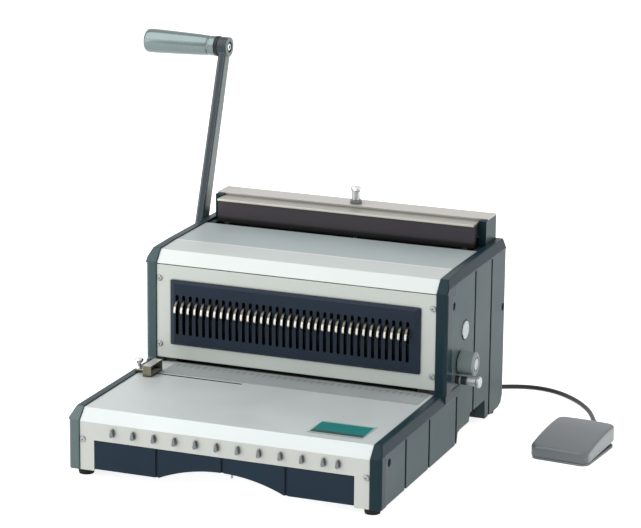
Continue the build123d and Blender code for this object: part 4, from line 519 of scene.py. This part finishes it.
# painted reflection: front faces at the bands' left ends lighter, more so on the base
navy_paint = finish_surface("navy_paint", NAVY, BARE, 0.30, relief=0.2, cloud=0.06, edge_wear_and_highlight=0.05,
                            edge_radius=0.0030, specular=0.13,
                            marks=((LIT_LEFT_FRONT, "Mask", srgb("4e6164")),
                                   (LIT_LEFT_FRONT, "Mask", srgb("6c7c7c"), {"Below": 0.36})))
panel_paint = finish_surface("panel_paint", srgb("506063"), srgb("8d9b9d"), 0.42, relief=0.30, cloud=0.05,
                             edge_wear_and_highlight=0.25, edge_radius=0.0009, painted_hollow_shade=0.95, hollow_reach=0.007, specular=0.12)
# painted shade: faces along x, the sides of the slots, black
comb_paint = finish_surface("comb_paint", srgb("24303e"), srgb("5c6a76"), 0.36, relief=0.2, cloud=0.06,
                            edge_wear_and_highlight=0.25, edge_radius=0.0007, painted_hollow_shade=0.9, hollow_reach=0.005, specular=0.12,
                            marks=((FACING, "X", SHADE_BLACK),))
# painted light: faces along x, the caps' ends, lighter
cap_navy = finish_surface("cap_navy", NAVY, BARE, 0.30, relief=0.2, cloud=0.06, edge_wear_and_highlight=0.2,
                          edge_radius=0.0012, specular=0.1, marks=((FACING, "X", srgb("33454a")),))
drawer_paint = finish_surface("drawer_paint", srgb("243442"), srgb("5c6a76"), 0.42, relief=0.25, cloud=0.06,
                              edge_wear_and_highlight=0.2, specular=0.10, painted_hollow_shade=0.8)
plate_paint = finish_surface("plate_paint", srgb("161c20"), BARE, 0.5, relief=0.2)
zinc = finish_surface("zinc", srgb("a3a7a8"), srgb("d0d2d2"), 0.34, metallic=0.9, cloud=0.12)
# painted shade: faces along x, the ends, a little darker and bluer
turned_steel = finish_surface("turned_steel", srgb("a4a6a7"), srgb("dcdcdc"), 0.27, metallic=0.85,
                              cloud=0.06, marks=((FACING, "X", srgb("98a2a4")),))
tool_steel = finish_surface("tool_steel", srgb("7f8284"), srgb("bfc0c0"), 0.30, metallic=1.0, cloud=0.10,
                            brushed=(900.0, 6.0, 900.0), relief=0.3)
# hooks: dark colour over their upper part and brown sides as painted shade, light lower part as painted
# highlight
nickel = finish_surface("nickel", srgb("5f5a50"), srgb("e8e4da"), 0.32, metallic=0.7, cloud=0.04, edge_wear_and_highlight=0.15,
                        edge_radius=0.0003, painted_hollow_shade=0.6, hollow_reach=0.003,
                        marks=((FOOT, "Foot", srgb("dcd8cc"), {"Height": 0.52}), (FACING, "X", HOOK_SIDE_SHADE)))
chrome = finish_surface("chrome", srgb("d8dadb"), srgb("ffffff"), 0.09, metallic=1.0, cloud=0.02,
                        edge_radius=0.0003)
FINE_LINES = (8.0, 1100.0, 1100.0)
# painted light: front faces lighter
champagne = finish_surface("champagne", srgb("a5a39b"), srgb("e6e3d8"), 0.32, metallic=0.6, cloud=0.03,
                           relief=0.35, brushed=FINE_LINES, edge_wear_and_highlight=0.9, edge_radius=0.0009, painted_hollow_shade=0.9,
                           marks=((FACING, "Y", srgb("cdc9bc")),))
cover_champagne = finish_surface("cover_champagne", srgb("c2c0ba"), srgb("e4e3de"), 0.34, metallic=0.5,
                                 cloud=0.03, relief=0.35, brushed=FINE_LINES, edge_wear_and_highlight=0.6, painted_hollow_shade=0.9)
# painted shadow: the lower quarter of the bar near-black, the shade of the gap under it
bar_brown = finish_surface("bar_brown", srgb("3b353b"), srgb("7a7478"), 0.38, metallic=0.2, cloud=0.05,
                           relief=0.3, brushed=(6.0, 900.0, 900.0),
                           marks=((FOOT, "Foot", srgb("0a090b"), {"Height": 0.24}),))
scale_grey = finish_surface("scale_grey", srgb("aab0b0"), srgb("c9cdc9"), 0.45, metallic=0.3, relief=0.1,
                            marks=((TICKS, "Stroke", srgb("4b5254")),))
teal_plate = finish_surface("teal_plate", srgb("12827f"), srgb("7fd0cc"), 0.32, relief=0.05, cloud=0.04,
                            coat=0.2, specular=0.4,
                            marks=((BORDER, "Strip", srgb("3f4a4c")), (BORDER, "Frame", srgb("a9c4c0"))))
peg_black = finish_surface("peg_black", srgb("74797b"), srgb("a8aaa8"), 0.35, metallic=0.6)
knurled_chrome = finish_surface("knurled_chrome", srgb("c2c8c9"), srgb("ffffff"), 0.30, metallic=0.5,
                                cloud=0.02, relief=0.6, brushed=(60.0, 900.0, 900.0), edge_radius=0.0003)
knob_grey = finish_surface("knob_grey", srgb("767f81"), srgb("a5adae"), 0.40, relief=0.3, painted_hollow_shade=0.9)
# painted shade: the end face darker; its edges take the light edge colour as a painted highlight
dial_paint = finish_surface("dial_paint", srgb("9aa7a6"), srgb("c4cccb"), 0.42, relief=0.3, painted_hollow_shade=0.9,
                            edge_wear_and_highlight=0.8, marks=((FACING, "X", srgb("768384")),))
spring_wire = finish_surface("spring_wire", srgb("7d8082"), srgb("b8babb"), 0.28, metallic=1.0)
bronze = finish_surface("bronze", srgb("a5793f"), srgb("d9b27a"), 0.38, metallic=1.0, cloud=0.12)
brass = finish_surface("brass", srgb("b8964f"), srgb("e4cf93"), 0.26, metallic=1.0)
motor_paint = finish_surface("motor_paint", srgb("3c4247"), srgb("777d80"), 0.45, relief=0.3)
tray_steel = finish_surface("tray_steel", srgb("8e9496"), srgb("c0c4c5"), 0.35, metallic=0.8, cloud=0.10)
rubber = finish_surface("rubber", srgb("1b1c1d"), srgb("3a3b3c"), 0.75, relief=0.5, edge_wear_and_highlight=0.1, specular=0.3)
sole_grey = finish_surface("sole_grey", srgb("a3a9ab"), srgb("b4b9bb"), 0.7, relief=0.5, edge_wear_and_highlight=0.1,
                           specular=0.3)
black_plastic = finish_surface("black_plastic", srgb("18191b"), srgb("45474a"), 0.42, relief=0.4, edge_wear_and_highlight=0.15)
cord_pvc = finish_surface("cord_pvc", srgb("131415"), srgb("3c3e40"), 0.38, relief=0.2, edge_wear_and_highlight=0.0)
board_green = finish_surface("board_green", srgb("1f6140"), srgb("8ab59b"), 0.35, relief=0.1)
# painted light: sides along x lighter, and edges fully in the light edge colour as painted highlights
arm_paint = finish_surface("arm_paint", srgb("2b383e"), srgb("a4b0b2"), 0.28, relief=0.15, edge_wear_and_highlight=1.0,
                           cloud=0.1, edge_radius=0.0013, specular=0.35,
                           marks=((FACING, "X", srgb("74847f")),))
dark_steel = finish_surface("dark_steel", srgb("3a3d40"), srgb("77797b"), 0.42, metallic=0.4, specular=0.2)
ring_black = finish_surface("ring_black", srgb("0c0d0f"), srgb("3c3e40"), 0.35, specular=0.3)
grip_silver = finish_surface("grip_silver", srgb("717e7e"), srgb("c5cecd"), 0.20, metallic=0.75, relief=0.3,
                             brushed=(6.0, 260.0, 260.0), relief_depth=0.0001)
# painted light: tops lighter and faces along x darker
guide_metal = finish_surface("guide_metal", srgb("86826e"), srgb("e4e2d2"), 0.34, metallic=0.5, edge_wear_and_highlight=0.8,
                             edge_radius=0.0005, painted_hollow_shade=0.97, hollow_reach=0.006, deep=0.45,
                             marks=((FACING, "Z", srgb("dad6d2")), (FACING, "X", srgb("514f48"))))
# painted light: sides along x lighter
pedal_plastic = finish_surface("pedal_plastic", srgb("70767b"), srgb("a4a8ab"), 0.34, relief=0.6,
                               relief_depth=0.0001, speck=1400.0, edge_wear_and_highlight=0.2, edge_radius=0.0016, coat=0.15,
                               marks=((FACING, "X", srgb("8a9092")),))

SLOT_FINISH = {
    "plate_steel": plate_paint, "band_navy": navy_paint, "panel_grey": panel_paint, "screw_zinc": zinc,
    "sheet_silver": silver_sheet, "scale_grey": scale_grey, "plate_teal": teal_plate, "peg_dark": peg_black,
    "plate_navy": comb_paint, "steel_bare": turned_steel, "steel_zinc": zinc, "nickel": nickel,
    "knob_grey": knob_grey, "chrome": chrome, "tool_steel": tool_steel, "spring_steel": spring_wire,
    "bronze": bronze, "motor_grey": motor_paint, "drawer_dark": drawer_paint, "tray_steel": tray_steel,
    "rubber_black": rubber, "plastic_black": black_plastic, "board_green": board_green,
    "arm_blue_grey": arm_paint, "ring_black": ring_black, "grip_silver": grip_silver, "bar_dark": bar_brown,
    "champagne": champagne, "brass": brass, "guide_dark": guide_metal, "pedal_grey": pedal_plastic,
    "cord_black": cord_pvc}

# nodes whose finish isn't the one of their material: some outer ones, and those deep inside, which take
# dark_steel as painted shade
NODE_FINISH = {
    "front_deck": deck_sheet, "tower_top_cover": cover_sheet, "closer_cover": cover_champagne,
    "closer_end_caps": cap_navy, "height_dial": dial_paint, "depth_knob": knurled_chrome,
    "guide_clamp": chrome, "pedal_sole": sole_grey,
    "hook_bar": dark_steel, "punch_ram": dark_steel, "guide_rods": dark_steel, "punches": dark_steel,
    "closer_legs": dark_steel, "closer_anvil": dark_steel, "cross_beams": dark_steel,
    "die_support": dark_steel, "punch_guide": dark_steel}


def dress_nodes():
    """Each piece of the construction takes its own finish, or else the one of its material."""
    for part in frame["record"]["subparts"]:
        node = frame["nodes"][part["node"]]
        finish = NODE_FINISH.get(part["node"], SLOT_FINISH[part["material_slot"]])
        node.data.materials.clear()
        node.data.materials.append(finish)


dress_nodes()
pedal_lead.data.materials.append(cord_pvc)


# ------------------------------------------------------------------ turned pieces
SMOOTH_BELOW = math.radians(32)     # faces at a sharper angle keep a hard edge
UP = Vector((0, 0, 1))


def mesh_piece(name, vertices, faces, finishes, bands=None):
    """An object from points in metres; bands gives each face's finish."""
    data = bpy.data.meshes.new(name)
    data.from_pydata(vertices, [], faces)
    for finish in finishes:
        data.materials.append(finish)
    if bands:
        for face, band in zip(data.polygons, bands):
            face.material_index = band
    data.shade_smooth()
    data.set_sharp_from_angle(angle=SMOOTH_BELOW)
    return add_object(name, data)


def tube_faces(rings, around):
    """Faces between rings of points, each ring around points long, then those of the two ends."""
    faces = []
    for ring in range(rings - 1):
        for k in range(around):
            a, b = ring * around + k, ring * around + (k + 1) % around
            faces.append((a, b, b + around, a + around))
    last = (rings - 1) * around
    faces.append(tuple(reversed(range(around))))
    faces.append(tuple(range(last, last + around)))
    return faces


def turned(name, axis, place, profile, finishes, around=72):
    """A piece turned about a level axis through place; profile is (radius, distance, finish) in mm."""
    vertices = []
    start = mm(*place)
    along = Vector(axis)
    other = along.cross(UP)
    for radius, distance, _ in profile:
        for k in range(around):
            a = 2 * math.pi * k / around
            offset = (UP * math.cos(a) + other * math.sin(a)) * radius + along * distance
            vertices.append(start + offset / 1000)
    bands = [band for _, _, band in profile[:-1] for k in range(around)]
    bands += [profile[0][2], profile[-1][2]]
    obj = mesh_piece(name, vertices, tube_faces(len(profile), around), finishes, bands)
    shape = bmesh.new()
    shape.from_mesh(obj.data)
    bmesh.ops.recalc_face_normals(shape, faces=shape.faces)
    shape.to_mesh(obj.data)
    shape.free()
    return obj


OUT_X = 188.0                       # outer face of the side covers
LEVER_X = -OUT_X - 12.0             # outer face of the lever
GRIP_END = (LEVER_X - 5.0, 456.6, 411.43)
PIN_END = (LEVER_X + 11.0, 456.6, 411.43)
DIAL_END = (OUT_X + 18.5, 259.0, 105.0)
DEPTH_SHAFT = (OUT_X + 0.2, 243.0, 89.0)
# profiles of (radius, distance, finish) from the end that the piece starts at
GRIP_PROFILE = (
    (0.5, 0.0, 0), (11.7, 0.0, 0), (12.4, 0.7, 0), (12.4, 7.2, 0), (11.7, 7.9, 0), (11.5, 9.6, 0),
    (12.3, 10.6, 0), (12.9, 20.0, 0), (13.5, 36.0, 0), (14.2, 56.0, 0), (14.8, 76.0, 0), (14.9, 86.0, 0),
    (14.8, 90.6, 0), (14.2, 92.8, 0), (13.0, 94.1, 0), (11.2, 94.5, 0), (0.5, 94.5, 0))
INLAY_PROFILE = ((6.9, 0.0, 0), (6.9, 0.45, 0), (6.6, 0.7, 0))
NECK_PROFILE = (
    (4.95, 0.0, 0), (4.95, 5.0, 0), (4.4, 5.5, 0), (4.4, 6.5, 0), (4.95, 7.0, 0), (4.95, 13.6, 0))
SCREW_PROFILE = ((4.3, 0.0, 0), (4.3, 0.4, 0), (3.6, 0.95, 0), (2.0, 0.95, 1), (1.9, 0.3, 1))
LEFT, RIGHT = (-1, 0, 0), (1, 0, 0)


def add_turned_pieces():
    """Grip of the lever, bright inlay of the dial, neck of the depth knob and screw of the grip's pin."""
    grip = turned("lever_grip_finish", LEFT, GRIP_END, GRIP_PROFILE, [grip_silver])
    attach(grip, "grip")
    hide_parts("lever_grip")
    inlay = turned("dial_inlay", RIGHT, DIAL_END, INLAY_PROFILE, [zinc])
    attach(inlay, "dial")
    sleeve = turned("depth_knob_neck", RIGHT, DEPTH_SHAFT, NECK_PROFILE, [dark_steel])
    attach(sleeve, "depth_knob")
    screw = turned("grip_pin_screw", RIGHT, PIN_END, SCREW_PROFILE, [chrome, ring_black])
    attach(screw, "lever")


add_turned_pieces()


# ------------------------------------------------------------------ pedal
PEDAL_AT = (313.5, 301.0)
PEDAL_YAW = math.radians(-5.0)
PEDAL_HALF_W, PEDAL_HALF_D = 36.0, 46.0
PEDAL_CORNER = 9.0
PEDAL_CORNER_LOSS = 0.7             # how much a corner's radius shrinks with the inset
PEDAL_CORNER_LEAST = 1.5
PEDAL_ROUND = 3.2
PEDAL_NOTCH = (5.2, 16.6)           # half width and top of the notch for the cord's gland
PEDAL_TOP_MID = 24.75               # height of the top's middle
PEDAL_TOP_HALF = 43.0               # from there to the top's front and rear
PEDAL_SLOPE, PEDAL_CROWN = 5.25, 3.0
PEDAL_SIDE_FALL = 0.7               # how far the top falls towards its sides
PEDAL_SKIRT_FRONT = 3.3             # lower edge of the skirt at the front
PEDAL_SKIRT_RISE = 5.0              # how much higher it is at the rear
PEDAL_WALL = 2.2
PEDAL_DRAFT = 0.2                   # how much thicker the wall is at its top
PEDAL_LIP, PEDAL_LIP_H = 0.35, 0.5  # small chamfer round the skirt's lower edge
PEDAL_INSIDE_DROP = 6.0             # inner wall's top, under the top's surface
PEDAL_SIDE_RINGS = (0.45, 0.75)     # shares of the side's height
PEDAL_ROUND_STEPS = 6
PEDAL_TOP_INSETS = (6.0, 11.0, 17.0, 24.0, 30.0, 34.0)


def pedal_outline(inset, side_points=14, corner_points=7):
    """Points (u, v) round the pedal, anticlockwise, with its corners rounded."""
    a, b = PEDAL_HALF_W - inset, PEDAL_HALF_D - inset
    r = max(PEDAL_CORNER - inset * PEDAL_CORNER_LOSS, PEDAL_CORNER_LEAST)
    points = []
    for k, (su, sv) in enumerate(((1, -1), (1, 1), (-1, 1), (-1, -1))):
        for j in range(corner_points):
            t = math.pi / 2 * (k - 1 + j / (corner_points - 1))
            points.append((su * (a - r) + r * math.cos(t), sv * (b - r) + r * math.sin(t)))
        nu, nv = ((1, 1), (-1, 1), (-1, -1), (1, -1))[k]
        turn = math.pi / 2 * k
        start = points[-1]
        end = (nu * (a - r) + r * math.cos(turn), nv * (b - r) + r * math.sin(turn))
        for j in range(1, side_points):
            f = j / side_points
            points.append((start[0] + (end[0] - start[0]) * f, start[1] + (end[1] - start[1]) * f))
    return points


def pedal_top(u, v):
    """Height of the crowned top."""
    t = v / PEDAL_TOP_HALF
    side = u / PEDAL_HALF_W
    return PEDAL_TOP_MID + PEDAL_SLOPE * t - PEDAL_CROWN * t * t - PEDAL_SIDE_FALL * side ** 2


def pedal_skirt(u, v):
    """Height of the skirt's lower edge."""
    z = PEDAL_SKIRT_FRONT + PEDAL_SKIRT_RISE * (v + PEDAL_HALF_D) / (2 * PEDAL_HALF_D)
    half, top = PEDAL_NOTCH
    return max(z, top) if abs(u) < half and v > 0 else z


def add_pedal():
    """Crowned treadle: a shell with a soft edge round its top and a skirt that rises to the rear."""
    def ring_at(inset, height):
        return [(u, v, height(u, v)) for u, v in pedal_outline(inset)]

    rings = [ring_at(PEDAL_WALL + PEDAL_DRAFT, lambda u, v: pedal_top(u, v) - PEDAL_INSIDE_DROP),
             ring_at(PEDAL_WALL, pedal_skirt),
             ring_at(PEDAL_LIP, pedal_skirt),
             ring_at(0.0, lambda u, v: pedal_skirt(u, v) + PEDAL_LIP_H)]
    for part in PEDAL_SIDE_RINGS:
        rings.append(ring_at(0.0, lambda u, v: pedal_skirt(u, v)
                             + (pedal_top(u, v) - PEDAL_ROUND - pedal_skirt(u, v)) * part))
    for step in range(PEDAL_ROUND_STEPS + 1):
        t = math.pi / 2 * step / PEDAL_ROUND_STEPS
        rings.append(ring_at(PEDAL_ROUND * (1 - math.cos(t)),
                             lambda u, v: pedal_top(u, v) - PEDAL_ROUND * (1 - math.sin(t))))
    rings += [ring_at(inset, pedal_top) for inset in PEDAL_TOP_INSETS]
    c, s = math.cos(PEDAL_YAW), math.sin(PEDAL_YAW)
    vertices = [mm(PEDAL_AT[0] + u * c - v * s, PEDAL_AT[1] + u * s + v * c, z)
                for ring in rings for u, v, z in ring]
    shell = mesh_piece("pedal_shell", vertices, tube_faces(len(rings), len(rings[0])), [pedal_plastic])
    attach(shell, "treadle")
    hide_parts("pedal_treadle")


add_pedal()


# ------------------------------------------------------------------ return springs
SPRING_WIRE_R = 0.7
SPRING_TURNS = 4
SPRING_STEPS = 36                   # rings to the turn


def spring_tube(middle_x, middle_y, radius, foot, head, around=10):
    """Points and faces of a coil of wire that stands on end."""
    vertices = []
    rings = SPRING_TURNS * SPRING_STEPS
    for ring in range(rings + 1):
        a = 2 * math.pi * ring / SPRING_STEPS
        outward = Vector((math.cos(a), math.sin(a), 0.0))
        middle = Vector((middle_x, middle_y, foot + (head - foot) * ring / rings)) + outward * radius
        for k in range(around):
            b = 2 * math.pi * k / around
            vertices.append(middle + (outward * math.cos(b) + UP * math.sin(b)) * SPRING_WIRE_R / 1000)
    return vertices, tube_faces(rings + 1, around)


def add_springs():
    """Two springs under the ram, coiled in the box of the packed ones."""
    bottom, top = low("ram_springs"), high("ram_springs")
    wire = SPRING_WIRE_R / 1000
    radius = (top.y - bottom.y) / 2 - wire
    vertices, faces = [], []
    for x in (bottom.x + radius + wire, top.x - radius - wire):
        more, sides = spring_tube(x, (bottom.y + top.y) / 2, radius, bottom.z + wire, top.z - wire)
        faces += [tuple(k + len(vertices) for k in side) for side in sides]
        vertices += more
    springs = mesh_piece("return_springs", vertices, faces, [spring_wire])
    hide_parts("ram_springs")
    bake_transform(springs)


add_springs()


# ------------------------------------------------------------------ floor and light
FLOOR_HALF = 12.0
FLOOR_DROP = 0.0002                 # keeps the floor clear of the feet
FLOOR_TONE = 0.93
FLOOR_GLOW = 0.82                   # lifts the floor to white where it's seen, apart from its shadows
AMBIENT = 0.43                      # the world's light on the pieces; where it's seen it is 1
MIDDLE = (0.0, 200.0, 120.0)        # where the lamps point
LAMPS = (                           # name, place, sides of the lamp in metres, power
    ("overhead", (-950, -300, 1950), (1.9, 1.6), 19.6),
    ("left", (-2300, -1500, 1100), (2.6, 2.2), 31.0),
    ("right", (2400, 300, 900), (2.2, 2.0), 17.0))


def seen_directly(tree):
    """1 for the rays that show the background: the camera's, mirrored ones and those through glass."""
    path = add_node(tree, "LightPath")
    mirrored = math_node(tree, "MAXIMUM", path.outputs["Is Glossy Ray"], path.outputs["Is Transmission Ray"])
    return math_node(tree, "MAXIMUM", path.outputs["Is Camera Ray"], mirrored)


def add_floor():
    data = bpy.data.meshes.new("floor")
    corners = [(x * FLOOR_HALF, y * FLOOR_HALF, 0) for x, y in ((-1, -1), (1, -1), (1, 1), (-1, 1))]
    data.from_pydata(corners, [], [(0, 1, 2, 3)])
    floor = add_object("floor", data)
    floor.location.z = -FLOOR_DROP
    material, tree, shader = start_material("floor_white", Roughness=0.9, Specular_IOR_Level=0.1)
    shader.inputs["Base Color"].default_value = (FLOOR_TONE, FLOOR_TONE, FLOOR_TONE, 1.0)
    glow = math_node(tree, "MULTIPLY", seen_directly(tree), FLOOR_GLOW)
    shader.inputs["Emission Color"].default_value = (1.0, 1.0, 1.0, 1.0)
    tree.links.new(glow, shader.inputs["Emission Strength"])
    data.materials.append(material)


def add_area(name, place, size, power):
    """A rectangular lamp that points at the machine's middle."""
    data = bpy.data.lights.new(name, "AREA")
    data.shape = "RECTANGLE"
    data.size, data.size_y = size
    data.energy = power
    turn = (mm(*MIDDLE) - mm(*place)).to_track_quat("-Z", "Y")
    add_object(name, data).matrix_world = Matrix.Translation(mm(*place)) @ turn.to_matrix().to_4x4()


def add_world():
    world = bpy.data.worlds.new("studio")
    world.use_nodes = True
    tree = world.node_tree
    background = tree.nodes["Background"]
    background.inputs["Color"].default_value = (1.0, 1.0, 1.0, 1.0)
    strength = spread_value(tree, seen_directly(tree), AMBIENT, 1.0, 0.0, 1.0)
    tree.links.new(strength, background.inputs["Strength"])
    bpy.context.scene.world = world


add_floor()
add_world()
for lamp_settings in LAMPS:
    add_area(*lamp_settings)
bpy.context.scene.view_settings.view_transform = "Standard"

# ------------------------------------------------------------------ last update
bpy.context.view_layer.update()
